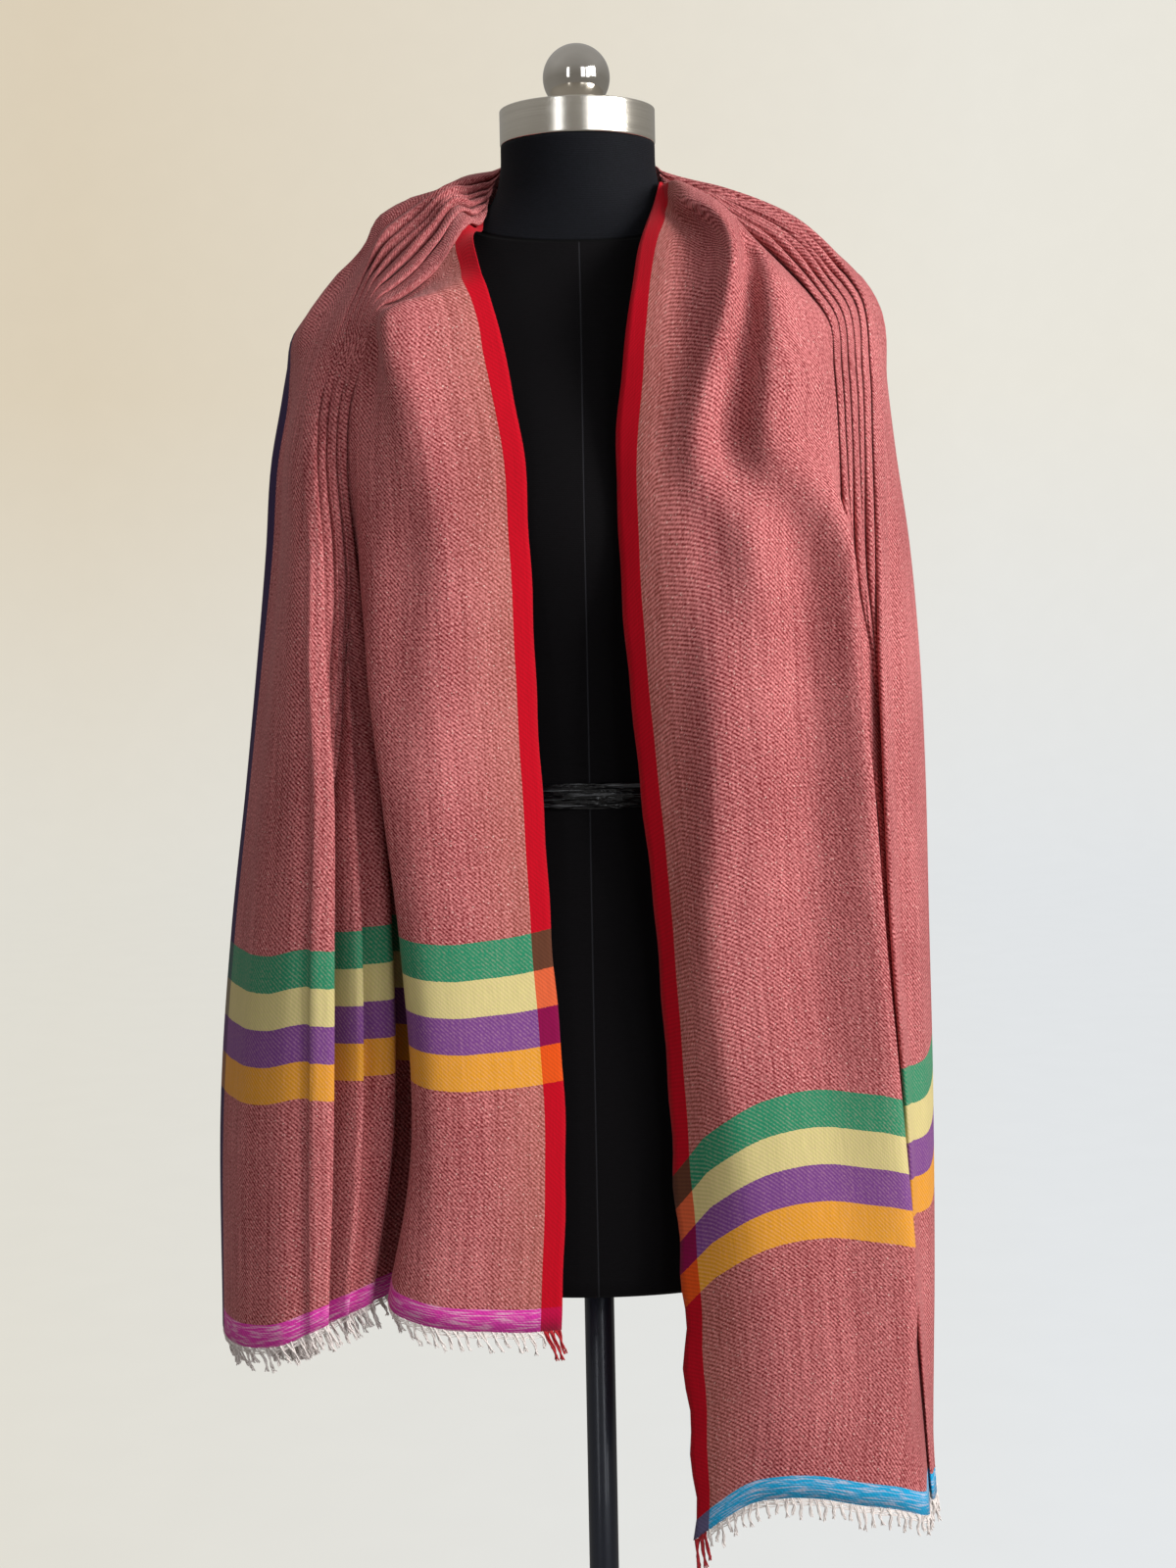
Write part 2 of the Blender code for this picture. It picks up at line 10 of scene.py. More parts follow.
import bmesh
import bpy
import numpy as np
from bpy.props import FloatProperty, FloatVectorProperty, PointerProperty
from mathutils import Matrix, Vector


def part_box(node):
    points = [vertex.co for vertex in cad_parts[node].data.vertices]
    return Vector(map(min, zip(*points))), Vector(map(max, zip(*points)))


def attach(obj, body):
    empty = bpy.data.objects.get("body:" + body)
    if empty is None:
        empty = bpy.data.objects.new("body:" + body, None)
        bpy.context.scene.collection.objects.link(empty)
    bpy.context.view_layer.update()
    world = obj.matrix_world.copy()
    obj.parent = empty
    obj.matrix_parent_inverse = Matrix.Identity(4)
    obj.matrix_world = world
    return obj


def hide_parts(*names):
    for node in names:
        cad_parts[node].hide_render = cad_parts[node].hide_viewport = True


bl_info = {
    "name": "Pashmina shawl on a dress form",
    "version": (1, 0, 0),
    "blender": (4, 5, 0),
    "location": "View3D > Sidebar > Shawl",
    "description": "Builds a draped twill shawl with banded, fringed ends and the form under it",
    "category": "Object",
}

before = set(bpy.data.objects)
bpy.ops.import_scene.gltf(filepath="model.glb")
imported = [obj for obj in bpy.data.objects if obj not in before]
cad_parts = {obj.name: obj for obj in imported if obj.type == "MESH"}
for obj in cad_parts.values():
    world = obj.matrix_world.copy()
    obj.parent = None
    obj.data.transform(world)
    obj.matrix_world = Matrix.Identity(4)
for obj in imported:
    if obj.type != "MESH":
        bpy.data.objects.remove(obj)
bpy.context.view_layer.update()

# ---- the dress form's shape ----------------------------------------------------------------------
NECK_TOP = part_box("form_neck_cap")[0][2]
CAP_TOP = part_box("form_neck_cap")[1][2]
TORSO_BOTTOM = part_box("form_torso")[0][2]
# height, half width, front, back of the torso and its neck
FORM_PROFILE = (
    (TORSO_BOTTOM, 0.160, -0.104, 0.112),
    (0.700, 0.168, -0.110, 0.120),
    (0.800, 0.168, -0.110, 0.120),
    (0.900, 0.146, -0.103, 0.102),
    (0.990, 0.124, -0.096, 0.086),
    (1.080, 0.136, -0.106, 0.092),
    (1.190, 0.156, -0.131, 0.104),
    (1.270, 0.158, -0.118, 0.110),
    (1.325, 0.172, -0.092, 0.106),
    (1.356, 0.166, -0.076, 0.096),
    (1.382, 0.124, -0.068, 0.084),
    (1.408, 0.086, -0.062, 0.072),
    (1.428, 0.065, -0.059, 0.062),
    (1.448, 0.0585, -0.0578, 0.0578),
    (1.469, 0.0575, -0.0575, 0.0575),
)

# ---- the shawl's drape ---------------------------------------------------------------------------
PLEATS = 6
LAYERS = 2 * PLEATS
CLOTH_CLEAR = 0.0048         # cloth's middle to the form
START = 7                    # rail where the front panel ends and the stack begins
SETTLE_REACH = 0.035         # over this way past the start, cloth comes to lie on the form
STACK_HEIGHT = 0.016         # of the layers where they lie on the form
# how the pleats' visible folds share out the way from the first to the last
SHARED = np.array((0.00, 0.17, 0.35, 0.54, 0.76, 1.00))
FLUSH = SHARED * 0.0
ROPED = np.array((-0.011, 0.036, 0.033, 0.030, 0.026, 0.000))
TUCKED = np.array((0.030, 0.034, 0.030, 0.026, 0.021, 0.000))
# where each layer lies on the way from the innermost to the outermost
FULL = np.array((0.00, 0.05, 0.19, 0.22, 0.34, 0.37, 0.51, 0.54, 0.64, 0.67, 0.82, 0.86, 1.00))
FOUR = np.array((0.00, 0.05, 0.25, 0.26, 0.29, 0.33, 0.52, 0.53, 0.56, 0.60, 0.79, 0.83, 1.00))
LOOSE = np.array((0.00, 0.12, 0.42, 0.46, 0.50, 0.54, 0.58, 0.62, 0.66, 0.70, 0.75, 0.84, 1.00))
ROUND = np.array((0.00, 0.36, 0.60, 0.62, 0.64, 0.66, 0.68, 0.70, 0.72, 0.75, 0.80, 0.88, 1.00))
# how far the weave is drawn up or down at each end: place across the cloth, share of its height
DRAWN_RIGHT = ((0.00, 0.955), (0.07, 0.993), (0.13, 1.010), (0.22, 0.970), (0.80, 0.980), (0.90, 0.985),
               (0.95, 0.965), (1.00, 0.955))
DRAWN_LEFT = ((0.00, 1.08), (0.03, 1.025), (0.075, 1.00), (0.12, 0.98), (0.165, 0.965), (0.25, 0.98),
              (0.70, 0.97), (0.80, 0.93), (1.00, 0.91))


def through(marks, values, at):
    """A smooth curve through values at marks, read at each place in at."""
    marks = np.asarray(marks, float)
    values = np.asarray(values, float)
    at = np.clip(np.asarray(at, float), marks[0], marks[-1])
    slopes = np.gradient(values, marks, axis=0)
    cell = np.clip(np.searchsorted(marks, at) - 1, 0, len(marks) - 2)
    size = marks[cell + 1] - marks[cell]
    s = (at - marks[cell]) / size
    shape = s.shape + (1,) * (values.ndim - 1)
    s = s.reshape(shape)
    size = size.reshape(shape)
    return ((2 * s**3 - 3 * s**2 + 1) * values[cell]
            + (s**3 - 2 * s**2 + s) * size * slopes[cell]
            + (3 * s**2 - 2 * s**3) * values[cell + 1]
            + (s**3 - s**2) * size * slopes[cell + 1])


def smooth(value):
    value = np.clip(value, 0.0, 1.0)
    return value * value * (3 - 2 * value)


def unit(vector):
    return vector / np.maximum(np.linalg.norm(vector, axis=-1, keepdims=True), 1e-12)


def form_size(height):
    """Half width, half depth and the middle's y of the form at each height."""
    rows = np.array(FORM_PROFILE)
    width, front, back = through(rows[:, 0], rows[:, 1:], height).T
    return width, (back - front) / 2, (back + front) / 2


def form_gap(points):
    """Roughly how far each point lies outside the form."""
    width, depth, middle = form_size(points[:, 2])
    x = points[:, 0] / width
    y = (points[:, 1] - middle) / depth
    radius = np.maximum(np.hypot(x, y), 1e-6)
    slope = np.hypot(x / width, y / depth) / radius
    return (radius - 1) / np.maximum(slope, 1e-6)


def form_normal(points):
    step = 0.0005
    parts = []
    for axis in np.eye(3) * step:
        parts.append(form_gap(points + axis) - form_gap(points - axis))
    return np.stack(parts, axis=1) / (2 * step)


def clear_of_form(points, gap, lay=0.0):
    """Push points out to gap from the form, and draw them down onto it by the share lay."""
    points = np.array(points, float)
    for _ in range(8):
        slope = form_normal(points)
        size = np.linalg.norm(slope, axis=1)
        miss = (gap - form_gap(points)) / np.maximum(size, 1e-6)
        miss = np.where(miss > 0, miss, miss * lay)
        points = points + unit(slope) * np.clip(miss, -0.02, 0.02)[:, None]
    return points


def drawn_to_form(points, lay):
    """Push points clear of the form, then draw them down onto it by the share lay."""
    clear = clear_of_form(points, CLOTH_CLEAR)
    laid = clear_of_form(clear, CLOTH_CLEAR, 1.0)
    return clear + (laid - clear) * lay


# Each station is one line across the cloth. Its rails are seven points of the front panel, from the
# red edge, then the innermost layer's start and four more points, the last under the navy edge.
# Lift is the way from the innermost to the outermost layer at each of the last five.


def fall(height, front, start, edge, outer, rolls=FLUSH, levels=FULL, rise=(0.0,) * 12,
         drop=0.0):
    """A station below the shoulder, from plan points (x, y).

    Edge is the outermost layer's fold over the start, outer its way from there to the navy edge. For a
    hem that isn't level, rise is how far each rail's point lies above height, and drop how far the
    outermost layer's fold hangs below the start.
    """
    rails = np.array([(x, y, height) for x, y in (*front, start, *outer)])
    lift = np.array([(edge[0] - start[0], edge[1] - start[1], -drop)] * 5)
    rails[START + 1:] -= lift[1:]
    rails[:, 2] += rise
    return {"rails": rails, "lift": lift, "rolls": rolls, "levels": levels, "lay": 0.0}


def shoulder(front, first, last, crest, navy, spread, over=0.0, lay=1.0):
    """A station over the shoulder, from the place of its first and last visible fold.

    Crest and navy are points of the innermost layer on the form, spread is how far the folds fan out
    along it, and over how far the first one lies over the front panel.
    """
    first, last, crest, navy = (np.array(point) for point in (first, last, crest, navy))
    start = first + unit(crest - first) * over
    under = [start, (start + crest) / 2, crest, (crest + navy) / 2, navy]
    under = drawn_to_form(under, np.array([0, lay, lay, lay, lay])[:, None])
    if len(front) == 1:
        front = front[0] + (under[0] - front[0]) * np.arange(START)[:, None] / START
    front = clear_of_form(front, CLOTH_CLEAR)
    below = under[0] + unit(under[1] - under[0]) * max(spread - over, 0.0)
    lift = last - drawn_to_form([below], lay * smooth(spread / SETTLE_REACH))[0]
    lifts = unit(form_normal(under)) * STACK_HEIGHT
    lifts[:2] = lift
    lifts[2] = lift * 0.3 + lifts[2] * 0.7
    return {"rails": np.concatenate([front, under]), "lift": lifts, "rolls": SHARED * spread - over,
            "levels": FULL, "lay": lay}


RIGHT_FALL = (
    fall(0.606, ((-0.028, -0.128), (-0.055, -0.136), (-0.082, -0.142), (-0.108, -0.146), (-0.132, -0.143),
                 (-0.149, -0.134), (-0.153, -0.121)), (-0.147, -0.094), (-0.199, -0.146),
         ((-0.231, -0.142), (-0.257, -0.122), (-0.275, -0.088), (-0.285, -0.049)), ROPED, ROUND,
         (0.000, 0.001, 0.004, 0.007, 0.012, 0.018, 0.024, 0.022, -0.004, -0.010, -0.014, -0.016), 0.012),
    fall(0.750, ((-0.022, -0.128), (-0.048, -0.138), (-0.074, -0.147), (-0.098, -0.153), (-0.118, -0.152),
                 (-0.131, -0.140), (-0.130, -0.122)), (-0.122, -0.089), (-0.193, -0.150),
         ((-0.223, -0.143), (-0.250, -0.124), (-0.268, -0.089), (-0.282, -0.047)), ROPED, ROUND),
    fall(0.890, ((-0.029, -0.125), (-0.052, -0.136), (-0.078, -0.148), (-0.100, -0.155), (-0.123, -0.154),
                 (-0.136, -0.141), (-0.130, -0.122)), (-0.121, -0.086), (-0.188, -0.151),
         ((-0.215, -0.143), (-0.238, -0.123), (-0.255, -0.086), (-0.270, -0.043)), ROPED, ROUND),
    fall(1.000, ((-0.034, -0.123), (-0.058, -0.136), (-0.084, -0.148), (-0.106, -0.155), (-0.130, -0.152),
                 (-0.147, -0.141), (-0.140, -0.122)), (-0.130, -0.087), (-0.184, -0.150),
         ((-0.207, -0.141), (-0.228, -0.117), (-0.243, -0.078), (-0.256, -0.039)), ROPED * 0.6, ROUND),
    fall(1.090, ((-0.037, -0.129), (-0.060, -0.141), (-0.084, -0.150), (-0.104, -0.155), (-0.130, -0.149),
                 (-0.154, -0.138), (-0.155, -0.120)), (-0.147, -0.092), (-0.187, -0.145),
         ((-0.205, -0.134), (-0.222, -0.105), (-0.233, -0.067), (-0.246, -0.033)),
         ROPED * 0.25, (FOUR + ROUND) / 2),
    fall(1.170, ((-0.039, -0.134), (-0.060, -0.143), (-0.080, -0.151), (-0.099, -0.155), (-0.124, -0.146),
                 (-0.150, -0.135), (-0.160, -0.119)), (-0.161, -0.106), (-0.187, -0.134),
         ((-0.203, -0.121), (-0.216, -0.089), (-0.224, -0.056), (-0.238, -0.027)), FLUSH, FOUR),
    fall(1.240, ((-0.042, -0.138), (-0.068, -0.147), (-0.094, -0.155), (-0.110, -0.159), (-0.122, -0.156),
                 (-0.141, -0.140), (-0.156, -0.124)), (-0.165, -0.112), (-0.191, -0.120),
         ((-0.204, -0.105), (-0.214, -0.077), (-0.220, -0.048), (-0.232, -0.023)), FLUSH, FOUR),
    fall(1.278, ((-0.049, -0.136), (-0.074, -0.146), (-0.099, -0.154), (-0.117, -0.160), (-0.128, -0.157),
                 (-0.139, -0.137), (-0.148, -0.119)), (-0.161, -0.112), (-0.189, -0.106),
         ((-0.200, -0.091), (-0.209, -0.066), (-0.214, -0.041), (-0.225, -0.018)), FLUSH, FOUR),
    fall(1.305, ((-0.054, -0.135), (-0.078, -0.143), (-0.102, -0.150), (-0.122, -0.156), (-0.133, -0.155),
                 (-0.140, -0.134), (-0.144, -0.117)), (-0.152, -0.113), (-0.182, -0.094),
         ((-0.196, -0.078), (-0.207, -0.054), (-0.214, -0.030), (-0.221, -0.008)), FLUSH, FULL),
)
RIGHT_SHOULDER = (
    shoulder(((-0.0585, -0.132, 1.328), (-0.080, -0.138, 1.329), (-0.102, -0.144, 1.330),
              (-0.120, -0.150, 1.331), (-0.134, -0.149, 1.331), (-0.139, -0.138, 1.330),
              (-0.142, -0.126, 1.329)), (-0.146, -0.120, 1.328), (-0.167, -0.078, 1.346),
             (-0.186, -0.045, 1.338), (-0.199, 0.004, 1.337), 0.014, 0.004, 0.0),
    shoulder(((-0.062, -0.128, 1.341), (-0.080, -0.132, 1.342), (-0.098, -0.137, 1.342),
              (-0.112, -0.142, 1.341), (-0.124, -0.143, 1.339), (-0.132, -0.134, 1.337),
              (-0.137, -0.125, 1.336)), (-0.141, -0.120, 1.338), (-0.155, -0.056, 1.375),
             (-0.172, -0.028, 1.358), (-0.188, 0.022, 1.350), 0.022, 0.008, 0.05),
    shoulder(((-0.065, -0.124, 1.351), (-0.078, -0.127, 1.350), (-0.090, -0.130, 1.349),
              (-0.101, -0.132, 1.347), (-0.110, -0.131, 1.345), (-0.118, -0.126, 1.343),
              (-0.124, -0.120, 1.341)), (-0.128, -0.117, 1.341), (-0.145, -0.034, 1.392),
             (-0.158, -0.008, 1.370), (-0.182, 0.048, 1.346), 0.030, 0.011, 0.4),
    shoulder(((-0.070, -0.117, 1.364),), (-0.106, -0.109, 1.358), (-0.132, -0.018, 1.407),
             (-0.146, 0.006, 1.378), (-0.174, 0.064, 1.344), 0.034, 0.008),
    shoulder(((-0.075, -0.100, 1.386),), (-0.091, -0.099, 1.379), (-0.116, -0.006, 1.425),
             (-0.124, 0.010, 1.388), (-0.162, 0.080, 1.344), 0.034, 0.006),
    shoulder(((-0.074, -0.078, 1.396),), (-0.081, -0.080, 1.402), (-0.098, 0.006, 1.438),
             (-0.110, 0.022, 1.394), (-0.146, 0.092, 1.344), 0.030, 0.004),
    shoulder(((-0.070, -0.054, 1.400),), (-0.075, -0.056, 1.402), (-0.082, 0.018, 1.449),
             (-0.098, 0.036, 1.396), (-0.126, 0.102, 1.341), 0.026, 0.003),
    shoulder(((-0.063, -0.030, 1.404),), (-0.066, -0.032, 1.406), (-0.064, 0.030, 1.456),
             (-0.088, 0.054, 1.394), (-0.104, 0.110, 1.338), 0.020, 0.002),
    shoulder(((-0.053, 0.030, 1.420),), (-0.055, 0.036, 1.418), (-0.048, 0.060, 1.462),
             (-0.070, 0.078, 1.392), (-0.062, 0.120, 1.335), 0.010),
)
BACK = (
    shoulder(((0.000, 0.060, 1.424),), (0.000, 0.068, 1.420), (0.000, 0.082, 1.464),
             (0.000, 0.094, 1.388), (0.000, 0.122, 1.332), 0.006),
)
LEFT_SHOULDER = (
    shoulder(((0.053, 0.030, 1.424),), (0.055, 0.036, 1.420), (0.048, 0.060, 1.462),
             (0.070, 0.078, 1.392), (0.062, 0.120, 1.335), 0.010),
    shoulder(((0.060, -0.030, 1.436),), (0.062, -0.018, 1.433), (0.063, 0.030, 1.455),
             (0.088, 0.048, 1.392), (0.104, 0.110, 1.338), 0.016, 0.001),
    shoulder(((0.055, -0.054, 1.418), (0.059, -0.055, 1.419), (0.062, -0.053, 1.420), (0.067, -0.062, 1.425),
              (0.070, -0.060, 1.431), (0.072, -0.054, 1.433), (0.072, -0.047, 1.431)),
             (0.070, -0.040, 1.426), (0.085, 0.020, 1.446), (0.102, 0.030, 1.392),
             (0.126, 0.102, 1.341), 0.022, 0.002),
    shoulder(((0.050, -0.076, 1.404), (0.058, -0.076, 1.406), (0.065, -0.068, 1.407), (0.078, -0.092, 1.414),
              (0.084, -0.085, 1.420), (0.088, -0.076, 1.421), (0.091, -0.068, 1.417)),
             (0.092, -0.060, 1.411), (0.108, 0.006, 1.435), (0.118, 0.014, 1.388),
             (0.146, 0.092, 1.344), 0.026, 0.003),
    shoulder(((0.046, -0.092, 1.392), (0.060, -0.091, 1.396), (0.077, -0.080, 1.397), (0.094, -0.113, 1.404),
              (0.101, -0.103, 1.407), (0.106, -0.094, 1.405), (0.110, -0.085, 1.400)),
             (0.112, -0.075, 1.394), (0.132, -0.003, 1.422), (0.138, 0.004, 1.380),
             (0.164, 0.080, 1.343), 0.028, 0.004),
    shoulder(((0.042, -0.104, 1.378), (0.060, -0.104, 1.385), (0.085, -0.094, 1.387), (0.103, -0.129, 1.391),
              (0.113, -0.113, 1.390), (0.118, -0.107, 1.388), (0.123, -0.098, 1.385)),
             (0.127, -0.086, 1.382), (0.153, -0.012, 1.407), (0.152, -0.006, 1.372),
             (0.178, 0.066, 1.340), 0.030, 0.004),
    shoulder(((0.036, -0.124, 1.350), (0.060, -0.124, 1.359), (0.088, -0.117, 1.365), (0.106, -0.149, 1.370),
              (0.118, -0.124, 1.368), (0.129, -0.134, 1.366), (0.140, -0.120, 1.361)),
             (0.149, -0.104, 1.357), (0.178, -0.022, 1.388), (0.180, -0.014, 1.358),
             (0.192, 0.048, 1.338), 0.030, 0.004, 0.4),
    shoulder(((0.034, -0.130, 1.338), (0.058, -0.132, 1.344), (0.085, -0.129, 1.349), (0.104, -0.157, 1.353),
              (0.117, -0.136, 1.354), (0.130, -0.148, 1.353), (0.147, -0.132, 1.348)),
             (0.161, -0.111, 1.342), (0.196, -0.042, 1.370), (0.197, -0.026, 1.346),
             (0.204, 0.032, 1.332), 0.024, 0.003, 0.05),
    shoulder(((0.032, -0.133, 1.322), (0.056, -0.137, 1.326), (0.081, -0.137, 1.330), (0.101, -0.160, 1.333),
              (0.117, -0.142, 1.334), (0.131, -0.156, 1.334), (0.152, -0.139, 1.331)),
             (0.172, -0.115, 1.326), (0.207, -0.056, 1.349), (0.204, -0.034, 1.328),
             (0.210, 0.020, 1.320), 0.016, 0.002, 0.0),
)
LEFT_FALL = (
    fall(1.290, ((0.028, -0.137), (0.050, -0.143), (0.070, -0.146), (0.088, -0.161), (0.110, -0.146),
                 (0.128, -0.162), (0.162, -0.139)), (0.176, -0.117), (0.212, -0.078),
         ((0.220, -0.056), (0.226, -0.026), (0.229, 0.002), (0.227, 0.038))),
    fall(1.240, ((0.023, -0.138), (0.042, -0.145), (0.060, -0.149), (0.077, -0.160), (0.102, -0.149),
                 (0.125, -0.164), (0.163, -0.140)), (0.179, -0.119), (0.211, -0.092),
         ((0.222, -0.066), (0.231, -0.030), (0.235, 0.008), (0.232, 0.046))),
    fall(1.170, ((0.024, -0.136), (0.044, -0.146), (0.066, -0.153), (0.088, -0.156), (0.114, -0.165),
                 (0.148, -0.144), (0.185, -0.149)), (0.181, -0.117), (0.213, -0.093),
         ((0.229, -0.066), (0.241, -0.028), (0.245, 0.010), (0.241, 0.050)), FLUSH, FOUR),
    fall(1.090, ((0.028, -0.135), (0.046, -0.145), (0.066, -0.154), (0.088, -0.164), (0.116, -0.161),
                 (0.156, -0.141), (0.191, -0.148)), (0.182, -0.113), (0.214, -0.091),
         ((0.234, -0.065), (0.248, -0.026), (0.252, 0.014), (0.246, 0.054)),
         TUCKED * 0.5, (FOUR + LOOSE) / 2),
    fall(1.000, ((0.036, -0.130), (0.054, -0.141), (0.070, -0.151), (0.086, -0.163), (0.114, -0.160),
                 (0.158, -0.141), (0.199, -0.147)), (0.185, -0.110), (0.217, -0.090),
         ((0.238, -0.060), (0.253, -0.020), (0.256, 0.018), (0.250, 0.058)), TUCKED, LOOSE),
    fall(0.890, ((0.046, -0.128), (0.058, -0.138), (0.068, -0.149), (0.080, -0.160), (0.106, -0.159),
                 (0.158, -0.143), (0.207, -0.146)), (0.193, -0.110), (0.221, -0.086),
         ((0.243, -0.054), (0.256, -0.014), (0.258, 0.022), (0.252, 0.062)), TUCKED, LOOSE),
    fall(0.750, ((0.054, -0.128), (0.066, -0.138), (0.079, -0.149), (0.096, -0.158), (0.124, -0.157),
                 (0.168, -0.147), (0.220, -0.142)), (0.206, -0.108), (0.231, -0.080),
         ((0.248, -0.050), (0.259, -0.010), (0.261, 0.026), (0.255, 0.066)), TUCKED, LOOSE),
    fall(0.606, ((0.061, -0.129), (0.078, -0.140), (0.096, -0.149), (0.118, -0.155), (0.146, -0.155),
                 (0.182, -0.149), (0.228, -0.137)), (0.220, -0.106), (0.238, -0.076),
         ((0.252, -0.046), (0.259, -0.008), (0.260, 0.028), (0.254, 0.068)), TUCKED, LOOSE),
    fall(0.488, ((0.067, -0.130), (0.086, -0.141), (0.108, -0.149), (0.132, -0.154), (0.156, -0.154),
                 (0.182, -0.151), (0.210, -0.143)), (0.238, -0.124), (0.246, -0.092),
         ((0.250, -0.060), (0.253, -0.018), (0.254, 0.024), (0.250, 0.070)), TUCKED, LOOSE, (
             -0.040, -0.021, -0.005, 0.000, -0.001, -0.007, -0.014, -0.026, -0.020, -0.008, 0.006, 0.014)),
)
STATIONS = (*RIGHT_FALL, *RIGHT_SHOULDER, *BACK, *LEFT_SHOULDER, *LEFT_FALL)
NAPE = len(RIGHT_FALL) + len(RIGHT_SHOULDER)

# How finely the sheet is divided. Rows are closer together over the shoulders.
ROWS = 226
CLOSE_ROWS = (len(RIGHT_FALL) - 2.0, len(STATIONS) - len(LEFT_FALL) + 1.0)
CLOSER = 2.0
FRONT_CELLS = 44
OUTER_CELLS = 26
VISIBLE_POINTS = 8           # of a layer that shows between two rolls
HIDDEN_POINTS = 4
ROLL_ANGLES = (18, 54, 90, 126, 162)
BACK_ANGLES = (30, 90, 150)
ROLL_REACH = 0.0048          # how far each visible fold's round edge reaches along the cloth
ROLL_SWELL = 0.7             # how full each visible roll is, in layers
EVENED_COLUMNS = 24          # to either side, when lengths inside the stack are averaged


def base_line(rails, lay):
    """The innermost layer as a dense curve: points, length run, and length at each rail."""
    chord = np.concatenate([[0], np.cumsum(np.linalg.norm(np.diff(rails, axis=0), axis=1))])
    places = np.linspace(0, chord[-1], 240)
    hold = (lay * smooth((places - chord[START]) / SETTLE_REACH))[:, None]
    curve = drawn_to_form(through(chord, rails, places), hold)
    run = np.concatenate([[0], np.cumsum(np.linalg.norm(np.diff(curve, axis=0), axis=1))])
    return curve, run, np.interp(chord, places, run)


def read_curve(curve, run, at):
    """Points of a measured curve at lengths at."""
    return np.stack([np.interp(at, run, curve[:, k]) for k in range(3)], axis=1)


def stack_layout(rolls, levels, depth, outer_end, bends, thick):
    """The stack's points as (place, share) pairs, layer by layer, the same count for any line."""
    points = []
    for layer in range(LAYERS + 1):
        shows = layer % 2 == 0
        roll = max((layer + 1) // 2 - 1, 0)
        back = min(layer // 2, PLEATS - 1)
        low = rolls[roll] + (bends[layer - 1 + layer % 2][1] if layer else 0.0)
        high = rolls[back] + depth - (bends[layer - layer % 2][1] if layer < LAYERS else 0.0)
        spread = np.linspace(0, 1, (VISIBLE_POINTS if shows else HIDDEN_POINTS) + 2)[1:-1] ** 1.5
        places = low + (high - low) * spread
        if layer == LAYERS:
            places = np.append(places, np.linspace(high + 0.002, outer_end, OUTER_CELLS))
        share = np.full(len(places), levels[layer])
        if shows and layer:
            width = min(rolls[roll + 1] - rolls[roll], 0.036) if roll + 1 < PLEATS else 0.012
            t = np.clip((places - rolls[roll]) / max(width, 0.006), 0, 1)
            share += max(ROLL_SWELL / LAYERS, 0.20 * width / thick) * np.sin(np.pi * t)
        order = slice(None) if shows else slice(None, None, -1)
        points += list(zip(places[order], share[order]))
        if layer < LAYERS:
            angle = np.radians(BACK_ANGLES if shows else ROLL_ANGLES)
            rise = (1 - np.cos(angle)) / 2
            fold, reach, slant = bends[layer]
            at = fold - (1 if shows else -1) * reach * (1 - np.sin(angle)) - slant * rise
            points += list(zip(at, levels[layer] + (levels[layer + 1] - levels[layer]) * rise))
    return np.array(points)


def across(rails, lift, rolls, levels, lay):
    """One line across the cloth, from the red edge through every layer to the navy edge."""
    base, run, rail_run = base_line(rails, lay)
    start = rail_run[START]
    outer_end = rail_run[-1] - start
    arcs = (math.pi / 2 - 1) * np.linalg.norm(lift[0])
    width = bpy.context.scene.shawl_sizes.width
    depth = (width - start - outer_end - arcs) / LAYERS
    deepest = rolls[-1] + depth

    def way_out(at):
        settle = 1 - 0.86 * lay * smooth((at - deepest - 0.002) / (outer_end - deepest))
        return through(rail_run[START:] - start, lift, at) * settle[:, None]

    bends = []
    for layer in range(LAYERS):
        roll = rolls[layer // 2]
        fold, least = (roll + depth, 0.0) if layer % 2 == 0 else (roll, ROLL_REACH)
        step = way_out(np.array([fold]))[0] * (levels[layer + 1] - levels[layer])
        here = read_curve(base, run, start + fold + np.array([-0.003, 0.003]))
        slant = step @ unit(here[1] - here[0])
        bends.append((fold, max(math.sqrt(max(step @ step - slant**2, 0)) / 2, least), slant))
    front = np.linspace(-start, 0, FRONT_CELLS + 1)
    layout = stack_layout(rolls, levels, depth, outer_end, bends, np.linalg.norm(lift[0]))
    place = np.concatenate([front, layout[:, 0]])
    share = np.concatenate([np.zeros(FRONT_CELLS + 1), layout[:, 1]])
    return read_curve(base, run, start + place) + way_out(place) * share[:, None]


def row_marks():
    """Marks of the sheet's rows, a mark being a place in the list of stations."""
    fine = np.linspace(0, len(STATIONS) - 1, 2000)
    length = np.interp(fine, np.arange(len(STATIONS)), station_run())
    density = np.where((fine > CLOSE_ROWS[0]) & (fine < CLOSE_ROWS[1]), CLOSER, 1.0)
    near = 60
    even = np.ones(2 * near + 1) / (2 * near + 1)
    density = np.convolve(np.pad(density, near, mode="edge"), even, mode="valid")
    amount = np.concatenate([[0], np.cumsum(np.diff(length) * density[1:])])
    return np.interp(np.linspace(0, amount[-1], ROWS), amount, fine)


def station_run():
    """Length along the cloth at each station."""
    rails = np.array([station["rails"] for station in STATIONS])
    steps = np.linalg.norm(np.diff(rails, axis=0), axis=2).mean(axis=1)
    return np.concatenate([[0], np.cumsum(steps)])


def cloth_grid():
    """The sheet's points, row by row from the right hem to the left one, and each point's place on
    the flat cloth: metres from the red edge, and metres from the right hem."""
    marks = row_marks()
    length = station_run()
    at = np.interp(marks, np.arange(len(length)), length)
    rails, lift, rolls, levels = (through(length, [station[key] for station in STATIONS], at)
                                  for key in ("rails", "lift", "rolls", "levels"))
    rolls = rolls + roll_waver(at, rolls)
    lay = np.interp(at, length, [station["lay"] for station in STATIONS])
    grid = np.array([across(*row) for row in zip(rails, lift, rolls, levels, lay)])
    return grid, *flat_places(grid, marks)


